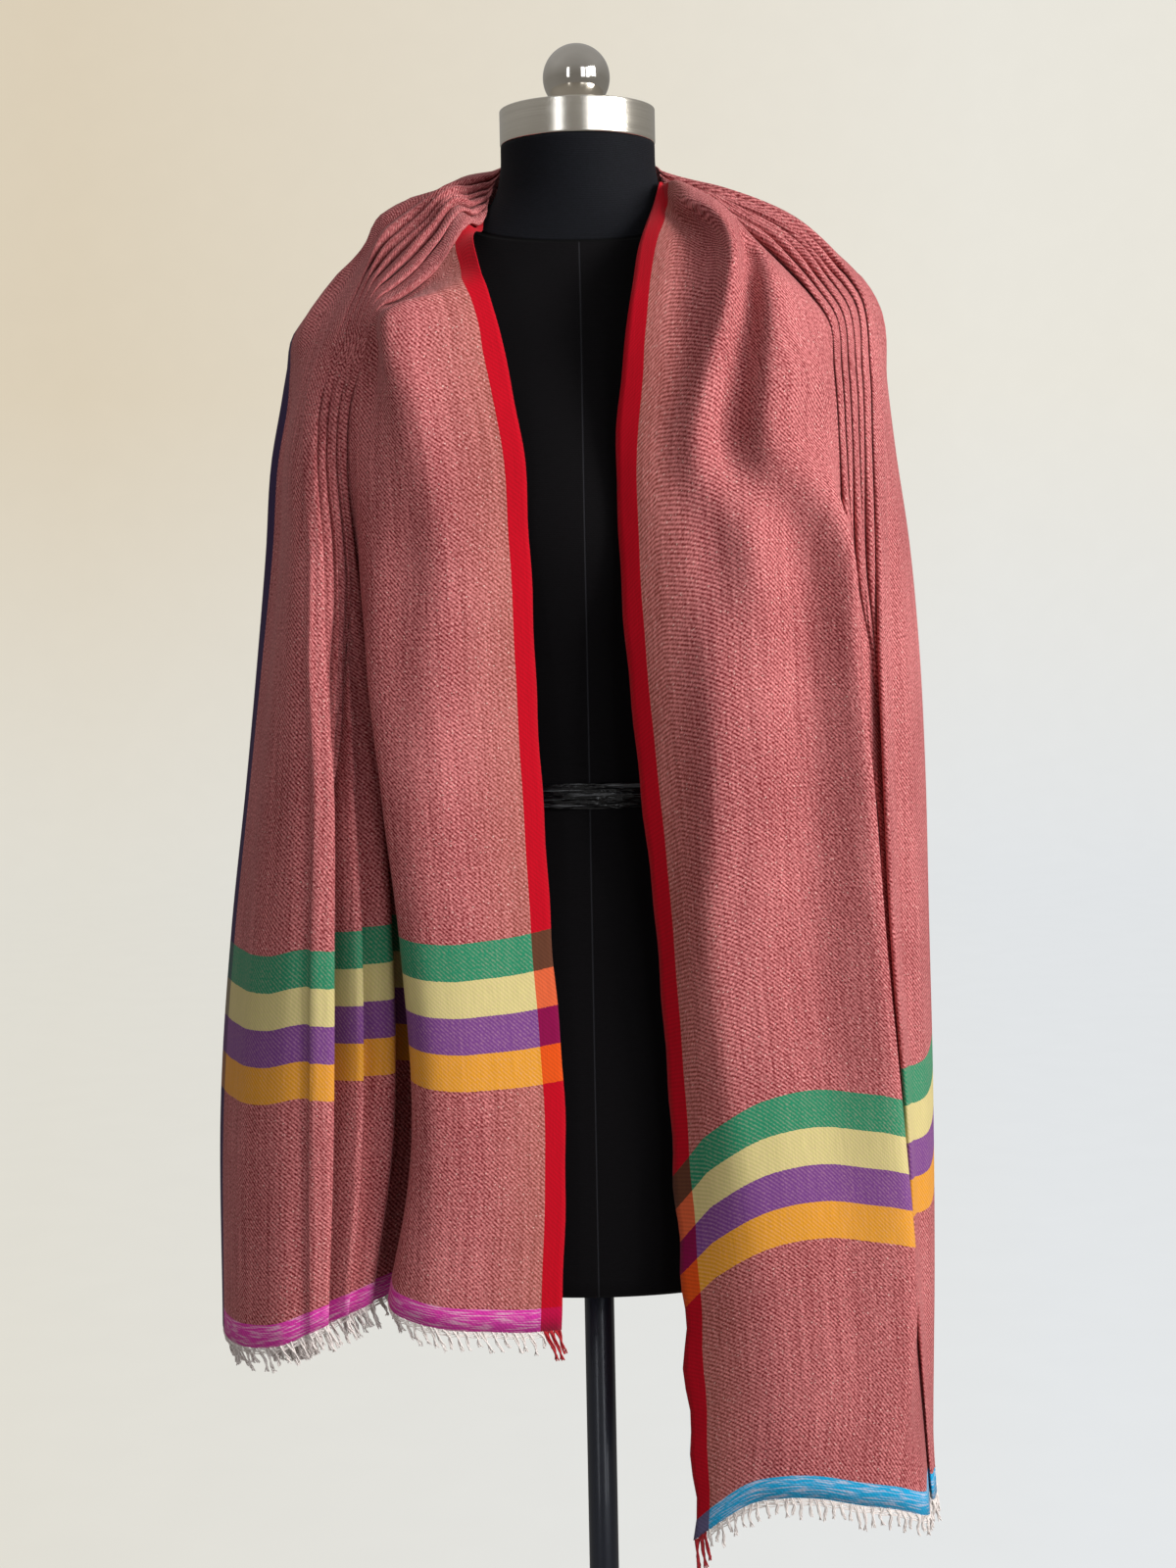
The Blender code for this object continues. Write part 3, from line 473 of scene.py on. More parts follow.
def roll_waver(at, rolls):
    """Small uneven shifts of the folds along the cloth, none at the first one."""
    roll = np.arange(PLEATS)[None, :]
    at = at[:, None]
    waver = 0.0013 * np.sin(at * 23 + roll * 2.4) + 0.0008 * np.sin(at * 61 + roll * 4.1)
    return waver * np.clip(rolls / 0.004, 0, 1)


def flat_places(grid, marks):
    """Each point's way from the red edge and from the right hem, measured along the cloth."""
    width = bpy.context.scene.shawl_sizes.width
    cells = np.linalg.norm(np.diff(grid, axis=1), axis=2)
    u = np.concatenate([np.zeros((len(grid), 1)), np.cumsum(cells, axis=1)], axis=1)
    u = u * (width / u[:, -1:])
    cells = np.linalg.norm(np.diff(grid, axis=0), axis=2)
    run = np.concatenate([np.zeros((1, grid.shape[1])), np.cumsum(cells, axis=0)])
    run = evened(run)
    total = bpy.context.scene.shawl_sizes.length
    to_left = smooth((marks - NAPE) / 12 + 0.5)[:, None]
    right, left = (np.interp(u, *zip(*table)) for table in (DRAWN_RIGHT, DRAWN_LEFT))
    v = run * right * (1 - to_left) + (total - (run[-1:] - run) * left) * to_left
    return u, v


def evened(run):
    """Lengths along the cloth, averaged over near columns inside the stack."""
    reach = EVENED_COLUMNS
    near = np.pad(run, ((0, 0), (reach, reach)), mode="edge")
    near = np.cumsum(np.pad(near, ((0, 0), (1, 0))), axis=1)
    near = (near[:, 2 * reach + 1:] - near[:, :-2 * reach - 1]) / (2 * reach + 1)
    column = np.arange(run.shape[1])
    inside = smooth((column - FRONT_CELLS) / 12) * smooth((run.shape[1] - OUTER_CELLS - column) / 12)
    return run + (near - run) * inside


def with_ripples(grid, u, v):
    """Let the red border waver, most near the left hem."""
    hem = smooth((v - 0.80 * bpy.context.scene.shawl_sizes.length) / 0.30)
    waver = np.sin(v * 86 + 1.0) + 0.6 * np.sin(v * 41)
    grid[..., 0] += (0.0004 + 0.0014 * hem) * waver * np.exp(-u / 0.016)
    return grid


# ---- shader maths --------------------------------------------------------------------------------


class Term:
    """A shader socket that can stand in a Python expression."""

    def __init__(self, shader, socket):
        self.shader = shader
        self.socket = socket

    def math(self, operation, *others, clamp=False):
        settings = {"operation": operation, "use_clamp": clamp}
        inputs = dict(enumerate((self, *others)))
        return self.shader.node("ShaderNodeMath", settings, inputs)

    def __add__(self, other):
        return self.math("ADD", other)

    def __sub__(self, other):
        return self.math("SUBTRACT", other)

    def __mul__(self, other):
        return self.math("MULTIPLY", other)

    def __truediv__(self, other):
        return self.math("DIVIDE", other)

    def __radd__(self, other):
        return self + other

    def __rsub__(self, other):
        return self * -1 + other

    def sin(self):
        return self.math("SINE")

    def abs(self):
        return self.math("ABSOLUTE")

    def least(self, other):
        return self.math("MINIMUM", other)

    def most(self, other):
        return self.math("MAXIMUM", other)

    def above(self, edge, soft=0.0):
        """0 below the edge and 1 above it."""
        if not soft:
            return self.math("GREATER_THAN", edge)
        return ((self - edge) * (1 / soft) + 0.5).math("ADD", 0.0, clamp=True)

    def between(self, low, high, soft=0.0):
        return self.above(low, soft) * (1 - self.above(high, soft))


class Shader:
    """Builds the nodes of a material or a world."""

    def __init__(self, owner):
        self.owner = owner
        owner.use_nodes = True
        self.tree = owner.node_tree
        self.tree.nodes.clear()

    def node(self, kind, settings=None, inputs=None, out=0):
        node = self.tree.nodes.new(kind)
        for key, value in (settings or {}).items():
            setattr(node, key, value)
        for key, value in (inputs or {}).items():
            if isinstance(value, Term):
                self.tree.links.new(value.socket, node.inputs[key])
            else:
                node.inputs[key].default_value = value
        return Term(self, node.outputs[out]) if node.outputs else node

    def parts(self, vector):
        split = self.node("ShaderNodeSeparateXYZ", inputs={0: vector}).socket.node
        return tuple(Term(self, socket) for socket in split.outputs)

    def uv(self, name):
        return self.parts(self.node("ShaderNodeUVMap", {"uv_map": name}))[:2]

    def place(self, kind="Object"):
        """The three Object or Generated coordinates."""
        return self.parts(self.node("ShaderNodeTexCoord", out=kind))

    def steps(self, place, colours):
        """One colour after another, in even steps from 0 to 1."""
        chosen = self.node("ShaderNodeValToRGB", inputs={0: place})
        ramp = chosen.socket.node.color_ramp
        ramp.interpolation = "CONSTANT"
        while len(ramp.elements) < len(colours):
            ramp.elements.new(0.5)
        for k, (element, colour) in enumerate(zip(ramp.elements, colours)):
            element.position = k / len(colours)
            element.color = (*colour, 1.0)
        return chosen

    def vector(self, x, y, z=0.0):
        return self.node("ShaderNodeCombineXYZ", inputs={0: x, 1: y, 2: z})

    def noise(self, x, y, z=0.0, detail=2.0):
        inputs = {"Vector": self.vector(x, y, z), "Scale": 1.0, "Detail": detail, "Roughness": 0.5}
        return self.node("ShaderNodeTexNoise", inputs=inputs)

    def grain(self, scale, upright=None, detail=2.0):
        """Noise in the Object coordinates, with its own scale up the pole if it is given."""
        x, y, z = self.place()
        return self.noise(x * scale, y * scale, z * (upright or scale), detail=detail)

    def mix(self, amount, first, second, blend="MIX"):
        """Between two colours."""
        settings = {"data_type": "RGBA", "blend_type": blend, "clamp_factor": True}
        first = first if isinstance(first, Term) else (*first, 1.0)
        second = second if isinstance(second, Term) else (*second, 1.0)
        return self.node("ShaderNodeMix", settings, {0: amount, 6: first, 7: second}, out=2)

    def tinted(self, colour, amount):
        """A colour made lighter or darker by a number near 1."""
        grey = self.node("ShaderNodeCombineColor", inputs={0: amount, 1: amount, 2: amount})
        return self.mix(1.0, colour, grey, "MULTIPLY")

    def bump(self, height, distance, strength=1.0):
        inputs = {"Height": height, "Distance": distance, "Strength": strength}
        return self.node("ShaderNodeBump", inputs=inputs)

    def finish(self, **inputs):
        names = {name.replace("_", " "): value for name, value in inputs.items()}
        for name, value in names.items():
            if "Color" in name or "Tint" in name:
                names[name] = value if isinstance(value, Term) else (*value, 1.0)
        surface = self.node("ShaderNodeBsdfPrincipled", inputs=names)
        self.node("ShaderNodeOutputMaterial", inputs={"Surface": surface})
        return self.owner


def new_shader(name):
    return Shader(bpy.data.materials.new(name))


# ---- settings ------------------------------------------------------------------------------------


def colour(name, description, default):
    return FloatVectorProperty(name=name, description=description, default=default, subtype="COLOR",
                               size=3, min=0.0, max=1.0)


def length(name, description, default):
    return FloatProperty(name=name, description=description, default=default, unit="LENGTH",
                         subtype="DISTANCE", min=0.0, precision=4)


class ShawlSizes(bpy.types.PropertyGroup):
    width: length("Width", "From the red edge to the navy edge, flat", 1.00)
    length: length("Length", "From hem to hem, flat", 2.08)
    wall: length("Cloth", "Thickness of the twill", 0.0007)
    border: length("Border", "Width of the red and navy borders", 0.0155)
    stripe: length("Hem stripe", "Height of the coloured stripe at each hem", 0.0165)
    band: length("Band", "Height of each of the four bands", 0.0262)
    plain_right: length("Plain, right end", "From the stripe to the bands, magenta end", 0.158)
    plain_left: length("Plain, left end", "From the stripe to the bands, blue end", 0.170)
    wale: length("Wale", "Distance between the twill's lines along the weft", 0.0032)
    tuft: length("Tuft pitch", "Distance between the fringe's tufts", 0.0064)


class ShawlColours(bpy.types.PropertyGroup):
    warp: colour("Warp", "Dark threads of the ground", (0.170, 0.014, 0.019))
    weft: colour("Weft", "Light threads of the ground", (0.67, 0.235, 0.235))
    tan: colour("Tan", "Tint beside the red border", (0.36, 0.140, 0.090))
    red: colour("Red", "Inner border", (0.42, 0.0006, 0.010))
    navy: colour("Navy", "Outer border", (0.022, 0.010, 0.060))
    magenta: colour("Magenta", "Hem stripe of the right end", (0.62, 0.040, 0.34))
    blue: colour("Blue", "Hem stripe of the left end", (0.012, 0.330, 0.600))
    cream: colour("Cream", "Fringe and loose weft", (0.90, 0.84, 0.80))


class FormColours(bpy.types.PropertyGroup):
    jersey: colour("Jersey", "Stretch cloth of the torso", (0.0020, 0.0014, 0.0022))
    neck: colour("Neck", "Stretch cloth of the neck", (0.0052, 0.0058, 0.0086))
    steel: colour("Steel", "Brushed cap", (0.86, 0.81, 0.72))
    chrome: colour("Chrome", "Ball on the cap", (0.70, 0.66, 0.60))
    pole: colour("Pole", "Paint of the pole and base", (0.016, 0.020, 0.034))


class StageSettings(bpy.types.PropertyGroup):
    backdrop: colour("Backdrop", "Floor and wall", (0.08, 0.078, 0.072))
    key: FloatProperty(name="Key light", description="Power of the big light at the front right",
                       default=98.0, unit="POWER", min=0.0)
    room: FloatProperty(name="Room light", description="Strength of the light from all round",
                        default=0.42, min=0.0)
    lens: FloatProperty(name="Lens", description="Focal length on a 36 mm long side", default=54.0,
                        min=10.0, unit="CAMERA")


# ---- finished pieces -----------------------------------------------------------------------------


def smooth_object(work, name, material):
    """Turn a bmesh into an object with smooth faces of one material."""
    mesh = bpy.data.meshes.new(name)
    work.to_mesh(mesh)
    work.free()
    mesh.polygons.foreach_set("use_smooth", [True] * len(mesh.polygons))
    mesh.materials.append(material)
    made = bpy.data.objects.new(name, mesh)
    bpy.context.scene.collection.objects.link(made)
    return made


def finished(work, name, material, replaces):
    """Turn a bmesh into a piece of the part, in place of the nodes that it replaces."""
    piece = smooth_object(work, name, material)
    as_piece(piece, replaces)
    return piece


def as_piece(piece, replaces):
    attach(piece, "root")
    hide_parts(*replaces)


def turned(profile, segments):
    """A bmesh turned about the pole's axis from (radius, height) points."""
    work = bmesh.new()
    verts = [work.verts.new((radius, 0.0, height)) for radius, height in profile]
    edges = [work.edges.new(pair) for pair in zip(verts, verts[1:])]
    bmesh.ops.spin(work, geom=verts + edges, cent=(0, 0, 0), axis=(0, 0, 1), angle=2 * math.pi,
                   steps=segments, use_merge=True, use_duplicate=False)
    bmesh.ops.remove_doubles(work, verts=work.verts[:], dist=1e-6)
    bmesh.ops.recalc_face_normals(work, faces=work.faces[:])
    return work


def rounded(corners, radius, steps=5):
    """A profile whose inner corners are rounded off."""
    corners = [np.array(corner, float) for corner in corners]
    points = [corners[0]]
    for before, corner, after in zip(corners, corners[1:], corners[2:]):
        reach = min(radius, np.linalg.norm(before - corner) / 2, np.linalg.norm(after - corner) / 2)
        start = corner + unit(before - corner) * reach
        end = corner + unit(after - corner) * reach
        for t in np.linspace(0, 1, steps):
            points.append((1 - t) ** 2 * start + 2 * t * (1 - t) * corner + t**2 * end)
    points.append(corners[-1])
    return [tuple(point) for point in points]


# ---- the shawl -----------------------------------------------------------------------------------


# woven bands, from the hem inwards: orange, purple, yellow, green
BAND_SHADES = ((0.66, 0.28, 0.020), (0.165, 0.050, 0.215), (0.57, 0.49, 0.21), (0.018, 0.215, 0.108))
# the same bands where they cross the red border
CROSSING_SHADES = ((0.62, 0.070, 0.006), (0.20, 0.002, 0.050), (0.58, 0.10, 0.035), (0.10, 0.035, 0.018))
STRIPE_CROSSINGS = ((0.42, 0.002, 0.045), (0.10, 0.085, 0.17))   # magenta end, blue end
TAN_WIDTH = 0.022            # from the red border to the middle of the tan tint's fading


class Twill(Shader):
    """The weave in the cloth's own flat measure: u from the red edge, v from the right hem."""

    def __init__(self):
        super().__init__(bpy.data.materials.new("rose_twill"))
        self.sizes = bpy.context.scene.shawl_sizes
        self.shades = bpy.context.scene.shawl_colours
        self.u, self.v = self.uv("cloth")
        self.left_end = self.v.above(self.sizes.length / 2)
        self.lay_threads()
        self.measure_ends()

    def threads(self, along_u, along_v, seed=0.0, detail=2.0):
        """Noise stretched along the warp or the weft, from -0.5 to 0.5."""
        return self.noise(self.u * along_u, self.v * along_v, seed, detail=detail) - 0.5

    def lay_threads(self):
        """The lines of the twill, single threads, and how unevenly both kinds are spread."""
        wobble = self.threads(70, 70, 2.0, 1.0) * 2.0
        self.wave = ((self.u - self.v) * (2 * math.pi / self.sizes.wale) + wobble).sin()
        self.fine_streak = self.threads(900, 60, 7.0, 1.0)
        self.weft_streak = self.threads(8, 700, 3.0)
        self.speck = self.threads(560, 560, 4.0, 1.0)
        self.uneven = (self.threads(420, 9, 0.0, 3.0) * 0.5 + self.threads(150, 12, 6.0, 3.0) * 0.28
                       + self.threads(7, 9, 11.0, 3.0) * 0.4 + self.weft_streak * 0.16)

    def measure_ends(self):
        """How far from its hem a place lies, where in the four bands, and whether in the stripe."""
        rough_edge = self.threads(900, 14, 0.0, 1.0) * 0.0012
        end = self.v.least(self.sizes.length - self.v) + rough_edge
        longer = self.left_end * (self.sizes.plain_left - self.sizes.plain_right)
        first = self.sizes.stripe + self.sizes.plain_right + longer
        self.place_in_bands = (end - first) / (4 * self.sizes.band)
        self.in_band = self.place_in_bands.between(0.0, 1.0)
        self.in_stripe = 1 - end.above(self.sizes.stripe)

    def ground(self):
        """Dark warp under light weft, browner beside the red border, with pale flecks."""
        cover = 0.42 + self.wave * 0.26 + self.speck * 1.8 + self.uneven
        ground = self.mix(cover, self.shades.warp, self.shades.weft)
        near_red = 1 - self.u.above(self.sizes.border + TAN_WIDTH, 0.050)
        ground = self.mix(near_red * 0.34, ground, self.shades.tan)
        fleck = self.noise(self.u * 620, self.v * 620, 5.0, detail=0.0)
        return self.mix(fleck.above(0.76, 0.05) * 0.6, ground, (0.80, 0.56, 0.50))

    def bands(self):
        """The four bands, with some of the ground's threads showing through."""
        showing = (0.05 + self.wave * 0.14 + self.speck * 0.7 + self.uneven * 0.4).most(0.0)
        return self.mix(showing, self.steps(self.place_in_bands, BAND_SHADES), (0.50, 0.30, 0.27))

    def stripe(self):
        """The hem stripe, with pale weft threads in it."""
        stripe = self.mix(self.left_end, self.shades.magenta, self.shades.blue)
        pale = self.noise(self.u * 60, self.v * 900, 2.0).above(0.55, 0.10)
        return self.mix(pale * 0.50, stripe, (0.74, 0.58, 0.62))

    def red_border(self):
        crossings = self.steps(self.place_in_bands, CROSSING_SHADES)
        red = self.mix(self.in_band, self.shades.red, crossings)
        return self.mix(self.in_stripe, red, self.mix(self.left_end, *STRIPE_CROSSINGS))

    def navy_border(self, bands):
        return self.mix(self.in_band * 0.35, self.shades.navy, bands)


def twill_material():
    make = Twill()
    border = make.sizes.border
    bands = make.bands()
    cloth = make.mix(make.in_band, make.ground(), bands)
    cloth = make.mix(make.in_stripe, cloth, make.stripe())
    cloth = make.mix(1 - make.u.above(border), cloth, make.red_border())
    cloth = make.mix(make.u.above(make.sizes.width - border), cloth, make.navy_border(bands))
    shade = 1.0 + make.uneven * 0.3 + make.fine_streak * 0.22 + make.wave * 0.10
    height = make.wave * 0.12 + make.fine_streak * 0.8 + make.weft_streak * 0.12
    return make.finish(Base_Color=make.tinted(cloth, shade), Roughness=0.9, Specular_IOR_Level=0.12,
                       Sheen_Weight=0.10, Sheen_Roughness=0.45, Sheen_Tint=(1.0, 0.72, 0.72),
                       Normal=make.bump(height, 0.00030, 0.6))


def build_sheet():
    """The whole shawl as one thin sheet."""
    grid, u, v = cloth_grid()
    grid = with_ripples(grid, u, v)
    rows, cols = u.shape
    work = bmesh.new()
    bmesh.ops.create_grid(work, x_segments=cols - 1, y_segments=rows - 1, size=1.0)
    layer = work.loops.layers.uv.new("cloth")
    place = {}
    for vert in work.verts:
        i = round((vert.co.y + 1) / 2 * (rows - 1))
        j = round((vert.co.x + 1) / 2 * (cols - 1))
        place[vert] = (i, j)
    for vert, (i, j) in place.items():
        vert.co = grid[i, j]
    for face in work.faces:
        for loop in face.loops:
            i, j = place[loop.vert]
            loop[layer].uv = (u[i, j], v[i, j])
    sheet = finished(work, "shawl_cloth", twill_material(),
                     ("shawl_right_fall", "shawl_back", "shawl_left_fall"))
    wall = sheet.modifiers.new("wall", "SOLIDIFY")
    wall.thickness = bpy.context.scene.shawl_sizes.wall
    wall.offset = 0.0
    return sheet, grid, u


class SHAWL_OT_cloth(bpy.types.Operator):
    """Drape the shawl over the form and fringe its two ends"""

    bl_idname = "shawl.cloth"
    bl_label = "Shawl"

    def execute(self, context):
        sheet, grid, u = build_sheet()
        fringes = [build_fringe("fringe_magenta_end", "fringe_right", grid[0], grid[1], u[0],
                                seed=11, wefts=5, lean=1.0),
                   build_fringe("fringe_blue_end", "fringe_left", grid[-1], grid[-2], u[-1],
                                seed=23, wefts=6, lean=0.3)]
        return {"FINISHED"}


def thread_material(name, shade, other_shade, roughness):
    """Loose threads, uneven between two shades."""
    make = new_shader(name)
    tone = make.mix(make.grain(300), shade, other_shade)
    return make.finish(Base_Color=tone, Roughness=roughness, Sheen_Weight=0.2)


THREAD_RADIUS = 0.00060
WEFT_PITCH = 0.0009          # between the loose weft threads under the hem
RED_PITCH = 0.0042           # between the red border's tufts
END_CLEAR = 0.002            # from the last thread to the navy edge


def new_strands(name):
    """A curve of fine threads, cream or red."""
    shades = bpy.context.scene.shawl_colours
    curve = bpy.data.curves.new(name, "CURVE")
    curve.dimensions = "3D"
    curve.bevel_depth = THREAD_RADIUS
    curve.bevel_resolution = 0
    curve.use_fill_caps = True
    curve.materials.append(thread_material("fringe_thread", shades.cream, (0.62, 0.54, 0.52), 0.9))
    curve.materials.append(thread_material("red_thread", shades.red, (0.34, 0.001, 0.006), 0.85))
    return curve


def add_strand(curve, points, radii, red=False):
    spline = curve.splines.new("POLY")
    spline.points.add(len(points) - 1)
    for point, co, radius in zip(spline.points, points, radii):
        point.co = (*co, 1.0)
        point.radius = radius
    spline.material_index = int(red)


def add_tuft(curve, below_hem, place, turn, lean, luck):
    """One tuft of warp ends that part towards their tips."""
    sizes = bpy.context.scene.shawl_sizes
    red = place < sizes.border
    steps = np.linspace(0, 1, 8)
    reach = luck.uniform(0.0115, 0.0195) + (0.006 if red else 0)
    curl = luck.uniform(-0.0012, 0.0012)
    phase = luck.uniform(0, 6)
    threads = 5 if red else 4
    for k in range(threads):
        side = (k - (threads - 1) / 2) * sizes.tuft * 0.75 / threads
        angle = phase + k * 2 * math.pi / threads + steps * 9
        gather = 0.25 + 0.75 * np.exp(-steps * 5)
        loose = 0.00045 + 0.0012 * steps**4 * luck.uniform(0.3, 1.0)
        points = []
        for step, near, splay, a in zip(steps, gather, loose, angle):
            point = below_hem(place + side * near, reach * step * luck.uniform(0.93, 1.0))
            sway = (lean * 0.35 + turn * 0.12) * reach * step + curl * math.sin(step * 5 + phase)
            points.append(point + np.array([sway + splay * math.cos(a), splay * math.sin(a), 0]))
        add_strand(curve, points, np.linspace(1.0, 0.7, len(points)) * (1.25 if red else 1.0), red)


def build_fringe(name, node, hem, above, u, seed, wefts, lean):
    """Loose warp ends in small tufts, under a few loose weft threads, along one hem.

    Hem and above are the sheet's last two rows there, and lean is how far the tufts hang aside.
    """
    sizes = bpy.context.scene.shawl_sizes
    luck = np.random.RandomState(seed)
    down = unit(hem - above)
    curve = new_strands(name)

    def below_hem(place, drop):
        root = np.array([np.interp(place, u, hem[:, k]) for k in range(3)])
        way = np.array([np.interp(place, u, down[:, k]) for k in range(3)])
        return root + unit(way * 0.3 + np.array([0, 0, -1.0])) * drop

    for line in range(wefts):
        drop = THREAD_RADIUS + WEFT_PITCH * line
        places = np.linspace(0.014, sizes.width - END_CLEAR, 380)
        wave = 0.00040 * np.sin(places * 310 + line * 2) + 0.0003 * np.sin(places * 830 + line)
        points = [below_hem(place, drop + bump) for place, bump in zip(places, wave)]
        add_strand(curve, points, [0.6] * len(places))
    place = 0.003
    turn = 0.0
    while place < sizes.width - END_CLEAR:
        turn = 0.5 * turn + 0.5 * luck.uniform(-1, 1)
        add_tuft(curve, below_hem, place, turn, lean, luck)
        place += RED_PITCH if place < sizes.border else sizes.tuft * luck.uniform(0.75, 1.25)
    piece = bpy.data.objects.new(name, curve)
    bpy.context.scene.collection.objects.link(piece)
    as_piece(piece, (node,))
    return piece


# ---- the dress form ------------------------------------------------------------------------------


COVER_TOP = 1.4685           # of the jersey, under the cap
TURNS = 144                  # points round the torso and the tape
NECK_SEAM = 1.4175           # height of the seam round the neck over the pole
SEAM_SLOPE = -0.42           # it is lower at the front


def fit_to_form(work, heights=(0.0, 1.0), rises=(0.0, 0.0)):
    """Bring a bmesh of radius 1 onto the form, or as far outside it as rises say at heights."""
    points = np.array([vert.co for vert in work.verts])
    width, depth, middle = form_size(points[:, 2])
    rise = np.interp(points[:, 2], heights, rises)
    for vert, (x, y, z), w, d, m, r in zip(work.verts, points, width, depth, middle, rise):
        vert.co = (x * (w + r), m + y * (d + r), z)


def jersey_material():
    shades = bpy.context.scene.form_colours
    make = new_shader("black_jersey")
    x, y, z = make.place()
    seam = z + y * SEAM_SLOPE - NECK_SEAM
    neck = seam.above(0.0, 0.0006)
    rib = (z * (2 * math.pi / 0.0013)).sin()
    fuzz = make.grain(600)
    tone = make.mix(neck, shades.jersey, shades.neck)
    tone = make.tinted(tone, 0.85 + rib * 0.14 + (fuzz - 0.5) * 0.8)
    # painted highlight: a pale line down the centre front seam, which is also sunk as a groove in the bump
    front = 1 - y.above(0.0)
    centre_seam_highlight = (1 - x.abs().above(0.0005, 0.0006)) * front * (1 - neck)
    groove = 1 - seam.abs().above(0.0009, 0.0012)
    tone = make.mix(centre_seam_highlight * 0.8, tone, (0.022, 0.022, 0.026))
    tone = make.mix(groove, tone, (0.0006, 0.0006, 0.0008))
    height = rib * 0.25 + fuzz * 0.5 - groove * 6 - centre_seam_highlight * 3
    return make.finish(Base_Color=tone, Roughness=0.80, Specular_IOR_Level=0.12, Sheen_Weight=0.01,
                       Normal=make.bump(height, 0.0003, 0.5))


class FORM_OT_torso(bpy.types.Operator):
    """Cover the torso and neck in ribbed black jersey"""

    bl_idname = "form.torso"
    bl_label = "Torso"

    def execute(self, context):
        body = np.linspace(TORSO_BOTTOM + 0.004, 1.28, 60)
        shoulders = np.linspace(1.285, COVER_TOP, 70)
        profile = [(0.0, TORSO_BOTTOM), (0.93, TORSO_BOTTOM), (0.975, TORSO_BOTTOM + 0.001)]
        profile += [(1.0, height) for height in (*body, *shoulders)]
        profile.append((0.0, COVER_TOP))
        work = turned(profile, TURNS)
        fit_to_form(work)
        finished(work, "form_torso_cover", jersey_material(), ("form_torso",))
        return {"FINISHED"}


def tape_material():
    make = new_shader("clear_tape")
    ripple = make.grain(60, 420)
    # painted reflection: pale grey streaks along the tape stand for glints of light on its gloss
    painted_glint = make.grain(25, 900, detail=3.0).above(0.60, 0.06)
    tone = make.mix(painted_glint * 0.30, (0.004, 0.004, 0.005), (0.30, 0.31, 0.33))
    return make.finish(Base_Color=tone, Roughness=0.12, Specular_IOR_Level=0.45,
                       Normal=make.bump(ripple, 0.006, 0.9))


class FORM_OT_tape(bpy.types.Operator):
    """Wind clear glossy tape round the waist"""

    bl_idname = "form.tape"
    bl_label = "Waist tape"

    def execute(self, context):
        low, high = (corner[2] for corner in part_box("form_waist_band"))
        middle = (low + high) / 2
        # height, and how far the tape lies outside the form there
        profile = ((low, 0.0013), (low + 0.0006, 0.0021), (middle - 0.0018, 0.0022),
                   (middle - 0.0006, 0.0028), (middle + 0.0010, 0.0022), (high - 0.0006, 0.0021),
                   (high, 0.0013))
        heights, rises = zip(*profile)
        work = turned([(1.0, height) for height in heights], TURNS)
        fit_to_form(work, heights, rises)
        bmesh.ops.solidify(work, geom=work.faces[:], thickness=0.0006)
        finished(work, "form_tape", tape_material(), ("form_waist_band",))
        return {"FINISHED"}


def steel_material():
    shades = bpy.context.scene.form_colours
    make = new_shader("brushed_steel")
    scratch = make.grain(12, 5200, detail=3.0)
    tone = make.mix(make.grain(6, 700) * 0.3, shades.steel, (0.62, 0.57, 0.50))
    tone = make.tinted(tone, 0.95 + (scratch - 0.5) * 0.35)
    return make.finish(Base_Color=tone, Metallic=1.0, Roughness=0.20 + (scratch - 0.5) * 0.25,
                       Normal=make.bump(scratch, 0.00006, 0.5))


def chrome_material():
    shades = bpy.context.scene.form_colours
    make = new_shader("chrome")
    smear = make.grain(60, 90, detail=3.0)
    tone = make.tinted(shades.chrome, 0.95 + (smear - 0.5) * 0.12)
    return make.finish(Base_Color=tone, Metallic=1.0, Roughness=0.05 + smear * 0.06,
                       Normal=make.bump(smear, 0.00005, 0.3))


class FORM_OT_cap(bpy.types.Operator):
    """Turn the steel neck cap and its ball"""

    bl_idname = "form.cap"
    bl_label = "Neck cap and ball"

    def execute(self, context):
        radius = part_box("form_neck_cap")[1][0]
        corners = [(0.0, NECK_TOP), (radius - 0.0004, NECK_TOP), (radius, NECK_TOP + 0.0012),
                   (radius, CAP_TOP - 0.0006), (radius - 0.0010, CAP_TOP), (0.0, CAP_TOP)]
        work = turned(rounded(corners, 0.0022), 128)
        finished(work, "form_cap", steel_material(), ("form_neck_cap",))
        low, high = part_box("form_cap_ball")
        ball = high[0]
        middle = high[2] - ball
        flat = math.acos(min((middle - low[2]) / ball, 1.0))
        angles = np.linspace(flat, math.pi, 40)
        profile = [(0.0, low[2])]
        profile += [(ball * math.sin(a), middle - ball * math.cos(a)) for a in angles]
        finished(turned(profile, 96), "form_ball", chrome_material(), ("form_cap_ball",))
        return {"FINISHED"}


def paint_material(name):
    shades = bpy.context.scene.form_colours
    make = new_shader(name)
    peel = make.grain(220)
    tone = make.tinted(shades.pole, 0.95 + (peel - 0.5) * 0.2)
    return make.finish(Base_Color=tone, Metallic=0.2, Roughness=0.34 + (peel - 0.5) * 0.12, Coat_Weight=0.2,
                       Normal=make.bump(peel, 0.00008, 0.3))


def collar_material():
    make = new_shader("pole_collar")
    cloudy = make.grain(120)
    tone = make.mix(cloudy, (0.42, 0.43, 0.44), (0.62, 0.63, 0.64))
    return make.finish(Base_Color=tone, Roughness=0.15, Coat_Weight=0.6, Coat_Roughness=0.05,
                       Normal=make.bump(cloudy, 0.0002, 0.3))


